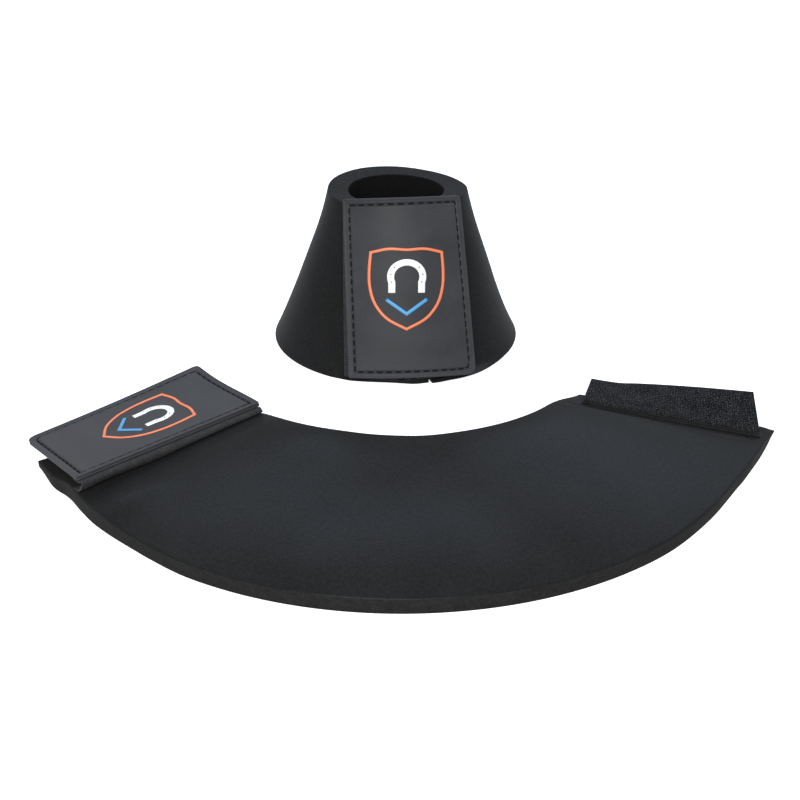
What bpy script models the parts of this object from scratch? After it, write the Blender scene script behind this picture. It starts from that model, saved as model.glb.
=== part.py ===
"""A pair of wrap-round over-reach boots for a horse's front hooves.

One boot is closed and stands on its wide end. The other is opened out, its mirror image,
and lies in front of it with its closure panel folded over and its fastening tab raised.
Lengths are in metres and +Z is up. The origin is under the middle of the pair, on the floor.
"""
import math

import bmesh
import bpy
from mathutils import Matrix, Vector

# Bell of the boot, measured on its outer face
bottom_radius = 0.095
top_radius = 0.0504
boot_height = 0.1196

# Wall, from the outer face inwards
cover_thickness = 0.002
foam_thickness = 0.006
lining_thickness = 0.002
glue_gap = 0.0003
bent_gap = 0.0005
edge_strip_thickness = 0.0016
edge_chamfer = 0.0013

# Where the wall's two ends meet, and the line at the back that it bends about
seam_azimuth = math.radians(15.2)
seam_gap = 0.0005
bend_gap = 0.0003

# The opened boot, as it lies: its outer edge is on the floor and its inner edge is raised
opened_radius = 0.2424
opened_outer_half_angle = math.radians(72.0)
opened_inner_half_angle = math.radians(62.7)
opened_turn = math.radians(4.0)
opened_middle_slope = math.radians(13.2)
opened_end_slope = math.radians(8.8)
opened_flare = 0.0115
opened_flare_start_share = 0.78
boot_spacing = 0.1193
closed_boot_shift = -0.0039

# Closure panel: across runs from its sewn edge to its free edge, down from its narrow end
panel_length = 0.1295
panel_narrow_width = 0.0805
panel_wide_width = 0.0922
panel_sewn_corner = 0.0012
panel_free_corner = 0.0075
panel_cover_thickness = 0.0026
panel_backing_thickness = 0.001
panel_backing_inset = 0.0012
panel_overhang = 0.0072
panel_sewn_offset = 0.0364
panel_seat = 0.0049

# Moulded edge of the panel: a raised bead, then a groove that holds the stitching
bead_height = 0.0005
bead_width = 0.0024
groove_inset = 0.0031
groove_width = 0.0018
groove_depth = 0.0009
groove_slope = 0.0004
thread_width = 0.0008
thread_height = 0.0006

# Elastic strip that the panel hangs on
elastic_thickness = 0.001
elastic_leg = 0.012
elastic_end_inset = 0.002
elastic_web_offset = 0.0005
elastic_bulge = 0.0015
elastic_clearance = 0.0003
panel_pivot_offset = 0.0025
panel_pivot_lift = 0.0013

# Hook patch under the panel's free edge
panel_hook_width = 0.043
panel_hook_thickness = 0.0008
panel_hook_margin = 0.008
panel_hook_edge = 0.003

# Badge on the panel
badge_half_height = 0.029
badge_across = 0.0435
badge_down = 0.064
badge_thickness = 0.0006
badge_frame_width = 0.0022
horseshoe_width = 0.0046
chevron_width = 0.0026

# Fastening tab sewn to the wall's other end, and its layers from the wall outwards
tab_length = 0.036
tab_width = 0.114
tab_top_inset = 0.0098
tab_root_inset = 0.012
tab_thickness = 0.0008
tab_facing_thickness = 0.0005
tab_facing_inset = 0.001
tab_hook_thickness = 0.0009
tab_hook_length = 0.019
tab_hook_margin = 0.0025
tab_turned_end = 0.005
tab_turned_gap = 0.0006
tab_pivot_lift = 0.0019

# How the opened boot's panel and tab lie
opened_panel_wide_share = -0.765
opened_panel_narrow_share = -0.845
opened_panel_bow_share = 0.028
opened_panel_wide_lift = 0.0145
opened_panel_narrow_lift = 0.0062
opened_panel_roll = math.radians(-6.0)
opened_panel_twist = math.radians(2.5)
opened_tab_tilt = math.radians(12.5)
opened_tab_twist = math.radians(10.0)
opened_tab_skew = math.radians(-8.0)

# Fineness of the round pieces
half_bell_segments = 22
opened_segments = 30
opened_rows = 3
panel_columns = 12
panel_rows = 5
corner_segments = 4
tab_columns = 8
tab_rows = 4
band_divisions = 2
strip_columns = 3
along_segments = 6
shoe_segments = 18

# Outline of the shield and of the chevron, as shares of the badge's half height
shield_shares = [(0.0, -0.97), (0.4, -0.99), (0.8, -0.9), (0.84, -0.45), (0.83, -0.05),
                 (0.72, 0.36), (0.45, 0.73), (0.0, 1.0)]
chevron_shares = [(-0.46, 0.3), (0.0, 0.62), (0.46, 0.3)]
horseshoe_centre_share = -0.3
horseshoe_radius_share = 0.36
horseshoe_heel_share = 0.26
horseshoe_half_angle = math.radians(112.0)

wall_thickness = cover_thickness + foam_thickness + lining_thickness + 2 * glue_gap
half_cone_angle = math.atan2(bottom_radius - top_radius, boot_height)
slant_length = math.hypot(bottom_radius - top_radius, boot_height)
apex_slant = top_radius / math.sin(half_cone_angle)
layer_inset = edge_strip_thickness + glue_gap

# Colours from the photograph, as linear red, green and blue, with roughness
cloth_black = ((0.014, 0.014, 0.016), 0.9)
foam_black = ((0.01, 0.01, 0.011), 0.95)
lining_black = ((0.02, 0.021, 0.025), 0.92)
binding_black = ((0.012, 0.012, 0.013), 0.9)
moulded_black = ((0.07, 0.07, 0.074), 0.55)
webbing_black = ((0.02, 0.02, 0.021), 0.85)
thread_black = ((0.008, 0.008, 0.008), 0.7)
badge_orange = ((0.78, 0.2, 0.08), 0.5)
badge_blue = ((0.06, 0.3, 0.58), 0.5)
badge_white = ((0.85, 0.85, 0.85), 0.5)

closed_centre = Vector((closed_boot_shift, boot_spacing, 0.0))
pieces = []


def clear_scene():
    """Start from an empty scene."""
    for item in list(bpy.data.objects):
        bpy.data.objects.remove(item, do_unlink=True)


def add_piece(name, points, faces, look, origin=None):
    """Keep one piece's mesh until the whole pair is centred."""
    pieces.append({"name": name, "points": points, "faces": faces, "look": look,
                   "origin": origin})


def add_swept(name, sections, look, ring=False, origin=None):
    """A solid through a row of like cross-sections, capped at its ends or joined in a ring."""
    count = len(sections[0])
    points = [point for section in sections for point in section]
    faces = []
    for row in range(len(sections) if ring else len(sections) - 1):
        here = row * count
        there = (row + 1) % len(sections) * count
        for side in range(count):
            after = (side + 1) % count
            faces.append((here + side, here + after, there + after, there + side))
    if not ring:
        last = (len(sections) - 1) * count
        faces.append(tuple(range(count))[::-1])
        faces.append(tuple(last + side for side in range(count)))
    add_piece(name, points, faces, look, origin)


def field_faces(rings, first_inner):
    """Faces that fill the panel outline's inside as a grid, its corners as single faces."""
    start = rings
    arc = corner_segments
    top_end = arc + panel_columns
    low_start = top_end + arc + panel_rows
    low_end = low_start + arc + panel_columns
    count = low_end + arc + panel_rows
    sewn = [start + (count - step) % count for step in range(panel_rows + 1)]
    free = [start + top_end + arc + step for step in range(panel_rows + 1)]
    rows = [[start + arc + step for step in range(panel_columns + 1)]]
    for row in range(panel_rows - 1):
        first = first_inner + row * (panel_columns + 1)
        rows.append([first + step for step in range(panel_columns + 1)])
    rows.append([start + low_end - step for step in range(panel_columns + 1)])
    faces = []
    for row in range(panel_rows):
        for step in range(panel_columns):
            faces.append((rows[row][step], rows[row][step + 1], rows[row + 1][step + 1],
                          rows[row + 1][step]))
    faces.append([sewn[1]] + [start + step for step in range(arc + 1)] + [rows[1][0]])
    faces.append([rows[1][-1]] + [start + top_end + step for step in range(arc + 1)] + [free[1]])
    for row in range(1, panel_rows - 1):
        faces.append((sewn[row], rows[row][0], rows[row + 1][0], sewn[row + 1]))
        faces.append((rows[row][-1], free[row], free[row + 1], rows[row + 1][-1]))
    faces.append([sewn[-2], rows[-2][0]] + [start + low_end + step for step in range(arc + 1)])
    faces.append([rows[-2][-1], free[-2]] + [start + low_start + step for step in range(arc + 1)])
    return faces


def add_panel_layer(name, place, levels, look, origin):
    """A layer with the panel's outline: rings at its levels, from its under side to its top."""
    outlines = [panel_outline(inset) for inset, _ in levels]
    count = len(outlines[0])
    points = [place(*spot, lift) for outline, (_, lift) in zip(outlines, levels)
              for spot in outline]
    faces = []
    for row in range(len(levels) - 1):
        here = row * count
        for side in range(count):
            after = (side + 1) % count
            faces.append((here + side, here + after, here + count + after, here + count + side))
    for ring in (0, len(levels) - 1):
        faces += field_faces(ring * count, len(points))
        outline = outlines[ring]
        low_end = count - corner_segments - panel_rows
        for row in range(1, panel_rows):
            for step in range(panel_columns + 1):
                spot = outline[corner_segments + step].lerp(outline[low_end - step],
                                                            row / panel_rows)
                points.append(place(*spot, levels[ring][1]))
    add_piece(name, points, faces, look, origin)


def add_sheet(name, place, across, down, lifts, look, columns, rows, origin=None):
    """A thin oblong sheet laid out by place, as a grid of columns and rows."""
    points = []
    for row in range(rows + 1):
        along = down[0] + (down[1] - down[0]) * row / rows
        for column in range(columns + 1):
            side = across[0] + (across[1] - across[0]) * column / columns
            points += [place(side, along, lift) for lift in lifts]
    wide = 2 * (columns + 1)
    faces = []
    for row in range(rows):
        for column in range(columns):
            low = row * wide + 2 * column
            for level in (0, 1):
                faces.append((low + level, low + 2 + level, low + wide + 2 + level,
                              low + wide + level))
    for column in range(columns):
        for low in (2 * column, rows * wide + 2 * column):
            faces.append((low, low + 2, low + 3, low + 1))
    for row in range(rows):
        for low in (row * wide, row * wide + 2 * columns):
            faces.append((low, low + wide, low + wide + 1, low + 1))
    add_piece(name, points, faces, look, origin)


def bell_radius(slant, lift):
    """Distance from the closed boot's axis, at a slant distance from its top."""
    return top_radius + slant * math.sin(half_cone_angle) + lift * math.cos(half_cone_angle)


def bell_point(azimuth, slant, lift):
    """A point of the closed boot. Azimuth 0 is its front; lift is out from its outer face."""
    radius = bell_radius(slant, lift)
    height = boot_height - slant * math.cos(half_cone_angle) + lift * math.sin(half_cone_angle)
    spot = Vector((radius * math.sin(azimuth), -radius * math.cos(azimuth), height))
    return closed_centre + spot


def bell_bottom(lift):
    """The slant distance at which the wall, cut level, meets the floor."""
    rise = lift * math.sin(half_cone_angle)
    return (boot_height + rise) / math.cos(half_cone_angle)


def wrapped_point(across, down, lift, turn=0.0):
    """A point of a flat pattern that is wrapped round the closed boot."""
    reach = math.hypot(across, apex_slant + down)
    angle = math.atan2(across, apex_slant + down) / math.sin(half_cone_angle)
    return bell_point(turn + angle, reach - apex_slant, lift)


def half_bell_azimuth(share, radius, side, front_gap, back_gap):
    """An azimuth within one half of the closed boot, its ends drawn in by two gaps."""
    front = front_gap / radius
    back = back_gap / radius
    return seam_azimuth + side * (front + share * (math.pi - front - back))


def opened_slope(share):
    """Slope of the opened boot's wall, flatter towards its ends."""
    return opened_middle_slope + (opened_end_slope - opened_middle_slope) * share * share


def opened_rim(share):
    """Radius and height of the opened boot's outer face at its wide edge."""
    past = max(0.0, abs(share) - opened_flare_start_share) / (1 - opened_flare_start_share)
    slope = opened_slope(share)
    radius = opened_radius + opened_flare * past * past + wall_thickness * math.sin(slope)
    height = wall_thickness * math.cos(slope) - edge_chamfer * math.sin(slope)
    return radius, height


def opened_point(share, slant, lift):
    """A point of the opened boot. Share runs from -1 at its left end to 1 at its right end."""
    slope = opened_slope(share)
    rim_radius, rim_height = opened_rim(share)
    neck_radius = rim_radius - slant_length * math.cos(slope)
    neck_height = rim_height + slant_length * math.sin(slope)
    rim_angle = opened_turn + share * opened_outer_half_angle
    neck_angle = opened_turn + share * opened_inner_half_angle
    rim = Vector((rim_radius * math.sin(rim_angle), -rim_radius * math.cos(rim_angle), rim_height))
    neck = Vector((neck_radius * math.sin(neck_angle), -neck_radius * math.cos(neck_angle),
                   neck_height))
    part_way = slant / slant_length
    angle = neck_angle + (rim_angle - neck_angle) * part_way
    normal = Vector((math.sin(slope) * math.sin(angle), -math.sin(slope) * math.cos(angle),
                     math.cos(slope)))
    return neck.lerp(rim, part_way) + normal * lift


def opened_share(share, slant, end_gap):
    """A share of the opened boot with both its ends drawn in by a gap."""
    part_way = slant / slant_length
    rim_radius = opened_rim(share)[0]
    neck_radius = rim_radius - slant_length * math.cos(opened_slope(share))
    radius = neck_radius + (rim_radius - neck_radius) * part_way
    half_angle = opened_inner_half_angle
    half_angle += (opened_outer_half_angle - opened_inner_half_angle) * part_way
    return share * (1 - end_gap / (radius * half_angle))


def wall_layers():
    """Name, outer lift, inner lift and look of each layer of the wall."""
    cover_in = -cover_thickness
    foam_out = cover_in - glue_gap
    foam_in = foam_out - foam_thickness
    lining_out = foam_in - glue_gap
    return [("outer_cover", 0.0, cover_in, cloth_black),
            ("foam_core", foam_out, foam_in, foam_black),
            ("inner_lining", lining_out, -wall_thickness, lining_black)]


def edge_profile():
    """Section of an edge strip, as pairs of distance in from the edge and lift."""
    deep = wall_thickness
    return [(edge_strip_thickness, 0.0), (edge_chamfer, 0.0), (0.0, -edge_chamfer),
            (0.0, edge_chamfer - deep), (edge_chamfer, -deep), (edge_strip_thickness, -deep)]


def add_closed_wall(side, half):
    """The layers and edge strips of one half of the closed boot's wall."""
    front = seam_gap / 2 + edge_strip_thickness + glue_gap
    back = bend_gap / 2
    origin = bend_line()[0] if half == "right" else None

    def spot(share, slant, lift):
        azimuth = half_bell_azimuth(share, bell_radius(slant, lift), side, front, back)
        return bell_point(azimuth, slant, lift)

    shares = [step / half_bell_segments for step in range(half_bell_segments + 1)]
    for name, outer, inner, look in wall_layers():
        sections = [[spot(share, layer_inset, outer),
                     spot(share, bell_bottom(outer) - layer_inset, outer),
                     spot(share, bell_bottom(inner) - layer_inset, inner),
                     spot(share, layer_inset, inner)] for share in shares]
        add_swept("closed_" + name + "_" + half, sections, look, origin=origin)
    top = [[spot(share, inward, lift) for inward, lift in edge_profile()] for share in shares]
    add_swept("closed_top_edge_strip_" + half, top, binding_black, origin=origin)
    bottom = [[spot(share, bell_bottom(lift) - inward, lift) for inward, lift in edge_profile()]
              for share in shares]
    add_swept("closed_bottom_edge_strip_" + half, bottom, binding_black, origin=origin)
    add_closed_end_strip(side, half, origin)


def add_closed_end_strip(side, half, origin):
    """The strip that closes the wall's end at the front seam."""
    near = seam_gap / 2
    sections = []
    for at_top in (True, False):
        section = []
        for inward, lift in edge_profile():
            slant = 0.0 if at_top else bell_bottom(lift)
            offset = (near + inward) / bell_radius(slant, lift)
            section.append(bell_point(seam_azimuth + side * offset, slant, lift))
        sections.append(section)
    add_swept("closed_end_strip_" + half, sections, binding_black, origin=origin)


def add_opened_wall():
    """The layers and edge strips of the opened boot's wall."""
    end_gap = edge_strip_thickness + glue_gap

    def spot(share, slant, lift):
        return opened_point(opened_share(share, slant, end_gap), slant, lift)

    shares = [2 * step / opened_segments - 1 for step in range(opened_segments + 1)]
    clear = slant_length - 2 * layer_inset
    slants = [layer_inset + clear * step / opened_rows for step in range(opened_rows + 1)]
    for name, outer, inner, look in wall_layers():
        sections = [[spot(share, slant, outer) for slant in slants]
                    + [spot(share, slant, inner) for slant in slants[::-1]] for share in shares]
        add_swept("open_" + name, sections, look)
    top = [[spot(share, inward, lift) for inward, lift in edge_profile()] for share in shares]
    add_swept("open_top_edge_strip", top, binding_black)
    bottom = [[spot(share, slant_length - inward, lift) for inward, lift in edge_profile()]
              for share in shares]
    add_swept("open_bottom_edge_strip", bottom, binding_black)
    for side, label in ((-1, "left"), (1, "right")):
        sections = []
        for slant in (0.0, slant_length - edge_chamfer):
            section = []
            for inward, lift in edge_profile():
                section.append(opened_point(opened_share(side, slant, inward), slant, lift))
            sections.append(section)
        add_swept("open_end_strip_" + label, sections, binding_black)


def panel_free_edge(down):
    """Across position of the panel's free edge, which slants."""
    return panel_narrow_width + (panel_wide_width - panel_narrow_width) * down / panel_length


def panel_outline(inset):
    """The panel's outline, drawn in by an inset, with the same count of points each time."""
    lean = (panel_wide_width - panel_narrow_width) / panel_length
    free_inset = inset * math.hypot(1, lean)
    top = inset
    bottom = panel_length - inset
    corners = [(inset, top, panel_sewn_corner), (panel_free_edge(top) - free_inset, top,
                                                 panel_free_corner),
               (panel_free_edge(bottom) - free_inset, bottom, panel_free_corner),
               (inset, bottom, panel_sewn_corner)]
    divisions = [panel_columns, panel_rows, panel_columns, panel_rows]
    outline = []
    for index, (across, down, radius) in enumerate(corners):
        here = Vector((across, down))
        before = Vector(corners[index - 1][:2])
        after = Vector(corners[(index + 1) % len(corners)][:2])
        size = max(radius - inset, panel_sewn_corner / 2)
        start = here + (before - here).normalized() * size
        end = here + (after - here).normalized() * size
        for step in range(corner_segments + 1):
            part = step / corner_segments
            outline.append(start.lerp(here, part).lerp(here.lerp(end, part), part))
        next_radius = corners[(index + 1) % len(corners)][2]
        next_size = max(next_radius - inset, panel_sewn_corner / 2)
        stop = after + (here - after).normalized() * next_size
        for step in range(1, divisions[index]):
            outline.append(end.lerp(stop, step / divisions[index]))
    return outline


def panel_stack():
    """Lifts of the panel's layers above its own under side."""
    cover_low = panel_backing_thickness + glue_gap
    cover_top = cover_low + panel_cover_thickness
    badge_low = cover_top + glue_gap
    return cover_low, cover_top, badge_low


def add_panel_cover(prefix, place, origin):
    """The moulded cover, with its bead and its stitching groove."""
    low, top, _ = panel_stack()
    far = groove_inset + groove_width
    levels = [(0.0, low), (0.0, top), (groove_slope, top + bead_height),
              (bead_width, top + bead_height), (groove_inset, top - groove_depth),
              (far, top - groove_depth), (far + groove_slope, top)]
    add_panel_layer(prefix + "_panel_cover", place, levels, moulded_black, origin)


def add_panel_backing(prefix, place, origin):
    """The soft backing under the moulded cover."""
    levels = [(panel_backing_inset, 0.0), (panel_backing_inset, panel_backing_thickness)]
    add_panel_layer(prefix + "_panel_backing", place, levels, cloth_black, origin)


def add_panel_stitching(prefix, place, origin):
    """The run of thread that lies in the groove."""
    _, top, _ = panel_stack()
    near = groove_inset + (groove_width - thread_width) / 2
    far = near + thread_width
    low = top - groove_depth + glue_gap
    high = low + thread_height
    sections = []
    for inner, outer in zip(panel_outline(far), panel_outline(near)):
        sections.append([place(*inner, low), place(*outer, low), place(*outer, high),
                         place(*inner, high)])
    add_swept(prefix + "_panel_stitching", sections, thread_black, ring=True, origin=origin)


def add_band(name, path, width, place, look, origin, ring):
    """A flat band of one width along a path on the badge."""
    _, _, low = panel_stack()
    high = low + badge_thickness
    centre = Vector((badge_across, badge_down))
    sections = []
    for index, spot in enumerate(path):
        before = path[index - 1] if ring or index else spot
        after = path[(index + 1) % len(path)] if ring or index + 1 < len(path) else spot
        first = (spot - before).normalized()
        second = (after - spot).normalized()
        along = (first + second).normalized()
        side = Vector((-along.y, along.x))
        spread = width / 2 / max(side.dot(Vector((-second.y, second.x))) if after != spot else 1,
                                 math.cos(math.pi / 4))
        left = centre + spot + side * spread
        right = centre + spot - side * spread
        sections.append([place(*left, low), place(*right, low), place(*right, high),
                         place(*left, high)])
    add_swept(name, sections, look, ring=ring, origin=origin)


def divided(path, ring):
    """A path with points added along each of its straight runs."""
    spots = []
    for index in range(len(path) if ring else len(path) - 1):
        after = path[(index + 1) % len(path)]
        spots += [path[index].lerp(after, step / band_divisions) for step in range(band_divisions)]
    return spots if ring else spots + [path[-1]]


def add_badge(prefix, place, origin):
    """A plain shield with a horseshoe over a chevron."""
    size = badge_half_height
    right = [Vector(spot) * size for spot in shield_shares]
    left = [Vector((-spot.x, spot.y)) for spot in right[1:-1][::-1]]
    add_band(prefix + "_badge_shield", divided(right + left, True), badge_frame_width, place,
             badge_orange, origin, True)
    chevron = [Vector(spot) * size for spot in chevron_shares]
    add_band(prefix + "_badge_chevron", divided(chevron, False), chevron_width, place, badge_blue,
             origin, False)
    centre = Vector((0.0, horseshoe_centre_share * size))
    radius = horseshoe_radius_share * size
    heel = Vector((0.0, horseshoe_heel_share * size))
    shoe = []
    for step in range(shoe_segments + 1):
        angle = horseshoe_half_angle * (2 * step / shoe_segments - 1)
        shoe.append(centre + Vector((radius * math.sin(angle), -radius * math.cos(angle))))
    shoe = [shoe[0] + heel] + shoe + [shoe[-1] + heel]
    add_band(prefix + "_badge_horseshoe", shoe, horseshoe_width, place, badge_white, origin, False)


def add_panel(prefix, place, foot, origin):
    """The closure panel with its layers, elastic strip, hook patch, stitching and badge."""
    add_panel_cover(prefix, place, origin)
    add_panel_backing(prefix, place, origin)
    add_panel_stitching(prefix, place, origin)
    add_badge(prefix, place, origin)
    ends = (elastic_end_inset, panel_length - elastic_end_inset)
    under = -bent_gap
    start = elastic_clearance - elastic_web_offset
    add_sheet(prefix + "_elastic_upper", place, (start, elastic_leg), ends,
              (under - elastic_thickness, under), webbing_black, strip_columns, panel_rows, origin)

    def beside_free_edge(across, down, lift):
        return place(panel_free_edge(down) - panel_hook_edge - across, down, lift)

    add_sheet(prefix + "_panel_hook_patch", beside_free_edge, (0.0, panel_hook_width),
              (panel_hook_margin, panel_length - panel_hook_margin),
              (under - panel_hook_thickness, under), webbing_black, tab_columns, panel_rows, origin)
    add_lower_elastic(prefix, place, foot, ends)


def add_lower_elastic(prefix, place, foot, ends):
    """The elastic strip's lower leg, sewn to the wall, and its fold up to the panel."""
    outer = -elastic_web_offset - elastic_thickness
    inner = -elastic_web_offset
    low = glue_gap
    high = glue_gap + elastic_thickness
    edge = -bent_gap - glue_gap
    sections = []
    for step in range(along_segments + 1):
        down = ends[0] + (ends[1] - ends[0]) * step / along_segments
        outer_bulge = (foot(outer - elastic_bulge, down, low)
                       + place(outer - elastic_bulge, down, edge)) / 2
        inner_bulge = (foot(inner - elastic_bulge, down, high)
                       + place(inner - elastic_bulge, down, edge)) / 2
        sections.append([foot(elastic_leg, down, low), foot(0.0, down, low),
                         foot(outer, down, low), outer_bulge, place(outer, down, edge),
                         place(inner, down, edge), inner_bulge, foot(inner, down, high),
                         foot(0.0, down, high), foot(elastic_leg, down, high)])
    add_swept(prefix + "_elastic_lower", sections, webbing_black)


def add_tab(prefix, place, foot, origin, seat_origin=None):
    """The fastening tab: webbing, a loop facing, a hook patch, its thread and turned end."""
    half = tab_thickness / 2
    ends = (0.0, tab_width)
    add_sheet(prefix + "_tab_webbing", place, (0.0, tab_length), ends, (-half, half),
              webbing_black, tab_columns, tab_rows, origin)
    face = half + glue_gap
    add_sheet(prefix + "_tab_loop_facing", place, (tab_turned_end, tab_length - tab_facing_inset),
              (tab_facing_inset, tab_width - tab_facing_inset),
              (face, face + tab_facing_thickness), webbing_black, tab_columns, tab_rows, origin)
    hook_end = tab_length - tab_facing_inset
    add_sheet(prefix + "_tab_hook_patch", place, (hook_end - tab_hook_length, hook_end),
              (tab_hook_margin, tab_width - tab_hook_margin),
              (-half - glue_gap - tab_hook_thickness, -half - glue_gap), webbing_black,
              tab_columns // 2, tab_rows, origin)
    seam = (tab_turned_end - thread_width) / 2
    add_sheet(prefix + "_tab_stitching", place, (seam, seam + thread_width),
              (tab_facing_inset, tab_width - tab_facing_inset),
              (face, face + thread_height), thread_black, 1, tab_rows, origin)
    add_sheet(prefix + "_tab_turned_end", foot, (0.0, tab_turned_end), ends,
              (glue_gap, tab_pivot_lift - half - tab_turned_gap), webbing_black, strip_columns,
              tab_rows, seat_origin)


def closed_panel_place(across, down, lift):
    """The panel's pattern, wrapped round the closed boot."""
    return wrapped_point(across - panel_sewn_offset, down - panel_overhang, panel_seat + lift)


def closed_panel_foot(across, down, lift):
    """The same pattern on the closed boot's wall."""
    return wrapped_point(across - panel_sewn_offset, down - panel_overhang, lift)


def closed_tab_foot(across, down, lift):
    """The tab's pattern on the closed boot's wall: it laps from the right over the seam."""
    return wrapped_point(tab_root_inset - across, tab_top_inset + down, lift, seam_azimuth)


def closed_tab_place(across, down, lift):
    """The closed boot's tab as it lies."""
    return closed_tab_foot(across, down, tab_pivot_lift + lift)


def opened_seat_share(along):
    """Share of the wall under the opened panel's sewn edge; along runs from its wide end."""
    span = opened_panel_narrow_share - opened_panel_wide_share
    return opened_panel_wide_share + span * along + 4 * opened_panel_bow_share * along * (1 - along)


def opened_hinge_spot(along, lift):
    """A point of the wall under the opened panel's sewn edge."""
    return opened_point(opened_seat_share(along), slant_length * (1 - along), lift)


def opened_panel_frame(down):
    """Corner, up direction, across direction and normal of the opened boot's twisted panel."""
    wide = opened_hinge_spot(0.0, opened_panel_wide_lift)
    narrow = opened_hinge_spot(1.0, opened_panel_narrow_lift)
    rise = (narrow - wide).normalized()
    level = Vector((-rise.y, rise.x, 0.0)).normalized()
    twist = opened_panel_twist * (1 - 2 * down / panel_length)
    across = Matrix.Rotation(opened_panel_roll + twist, 3, rise) @ level
    normal = rise.cross(across)
    corner = (wide + narrow) / 2 - rise * panel_length / 2
    return corner, rise, across, normal


def opened_panel_place(across, down, lift):
    """The panel's pattern, folded over on the opened boot."""
    corner, rise, side, normal = opened_panel_frame(down)
    return corner + rise * (panel_length - down) + side * across + normal * lift


def opened_panel_foot(across, down, lift):
    """A point of the opened wall beside the panel's sewn edge."""
    along = 1 - down / panel_length
    share = opened_seat_share(along)
    slant = slant_length * (1 - along)
    slope = opened_slope(share)
    rim_radius = opened_rim(share)[0]
    radius = rim_radius - (slant_length - slant) * math.cos(slope)
    half_angle = opened_inner_half_angle
    half_angle += (opened_outer_half_angle - opened_inner_half_angle) * slant / slant_length
    return opened_point(share - across / (radius * half_angle), slant, lift)


def opened_tab_share(slant):
    """Share of the opened wall at the tab's root."""
    return opened_share(1.0, slant, tab_root_inset)


def opened_tab_frame(down):
    """Corner, along direction, across direction and normal of the opened boot's twisted tab."""
    last = tab_top_inset + tab_width
    start = opened_point(opened_tab_share(tab_top_inset), tab_top_inset, tab_pivot_lift)
    stop = opened_point(opened_tab_share(last), last, tab_pivot_lift)
    along = (stop - start).normalized()
    level = Vector((-along.y, along.x, 0.0)).normalized()
    twist = opened_tab_twist * (2 * down / tab_width - 1)
    across = Matrix.Rotation(opened_tab_tilt + twist, 3, along) @ level
    normal = along.cross(across)
    return start, along, across, normal


def opened_tab_place(across, down, lift):
    """The opened boot's tab as it stands, past the wall's right end."""
    corner, along, side, normal = opened_tab_frame(down)
    side = Matrix.Rotation(opened_tab_skew, 3, normal) @ side
    return corner + along * down + side * across + normal * lift


def opened_tab_foot(across, down, lift):
    """A point of the opened wall beside the tab's root."""
    slant = tab_top_inset + down
    share = opened_share(1.0, slant, tab_root_inset - across)
    return opened_point(share, slant, lift)


def bend_line():
    """The line at the back, on the outer face, that the closed boot's wall opens about."""
    low = bell_point(seam_azimuth + math.pi, bell_bottom(0.0), 0.0)
    high = bell_point(seam_azimuth + math.pi, 0.0, 0.0)
    return low, high


def panel_line(place):
    """The fold line that a panel turns about."""
    return (place(-panel_pivot_offset, panel_length, panel_pivot_lift),
            place(-panel_pivot_offset, 0.0, panel_pivot_lift))


def tab_line(place):
    """The root line that a tab turns about."""
    return place(0.0, tab_width, 0.0), place(0.0, 0.0, 0.0)


def look_material(name, look):
    """A piece's own material."""
    colour, roughness = look
    material = bpy.data.materials.new(name)
    material.use_nodes = True
    shader = material.node_tree.nodes["Principled BSDF"]
    shader.inputs["Base Color"].default_value = (*colour, 1.0)
    shader.inputs["Roughness"].default_value = roughness
    shader.inputs["Metallic"].default_value = 0.0
    return material


def pair_centre():
    """The point of the floor under the middle of the pair."""
    spots = [point for piece in pieces for point in piece["points"]]
    wide = [spot.x for spot in spots]
    deep = [spot.y for spot in spots]
    return Vector(((min(wide) + max(wide)) / 2, (min(deep) + max(deep)) / 2, 0.0))


def make_objects():
    """Turn every kept piece into an object, with the pair centred on the origin."""
    centre = pair_centre()
    for piece in pieces:
        mesh = bpy.data.meshes.new(piece["name"])
        origin = centre if piece["origin"] is None else piece["origin"]
        mesh.from_pydata([point - origin for point in piece["points"]], [], piece["faces"])
        solid = bmesh.new()
        solid.from_mesh(mesh)
        bmesh.ops.recalc_face_normals(solid, faces=solid.faces)
        solid.to_mesh(mesh)
        solid.free()
        mesh.shade_smooth()
        mesh.set_sharp_from_angle(angle=math.radians(30))
        mesh.materials.append(look_material(piece["name"], piece["look"]))
        item = bpy.data.objects.new(piece["name"], mesh)
        item.location = origin - centre
        bpy.context.scene.collection.objects.link(item)


def build():
    """Model both boots."""
    clear_scene()
    add_closed_wall(-1, "left")
    add_closed_wall(1, "right")
    add_panel("closed", closed_panel_place, closed_panel_foot, panel_line(closed_panel_place)[0])
    add_tab("closed", closed_tab_place, closed_tab_foot, tab_line(closed_tab_place)[0],
            bend_line()[0])
    add_opened_wall()
    add_panel("open", opened_panel_place, opened_panel_foot, panel_line(opened_panel_place)[0])
    add_tab("open", opened_tab_place, opened_tab_foot, tab_line(opened_tab_place)[0])
    make_objects()


build()
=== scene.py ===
import math

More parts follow.
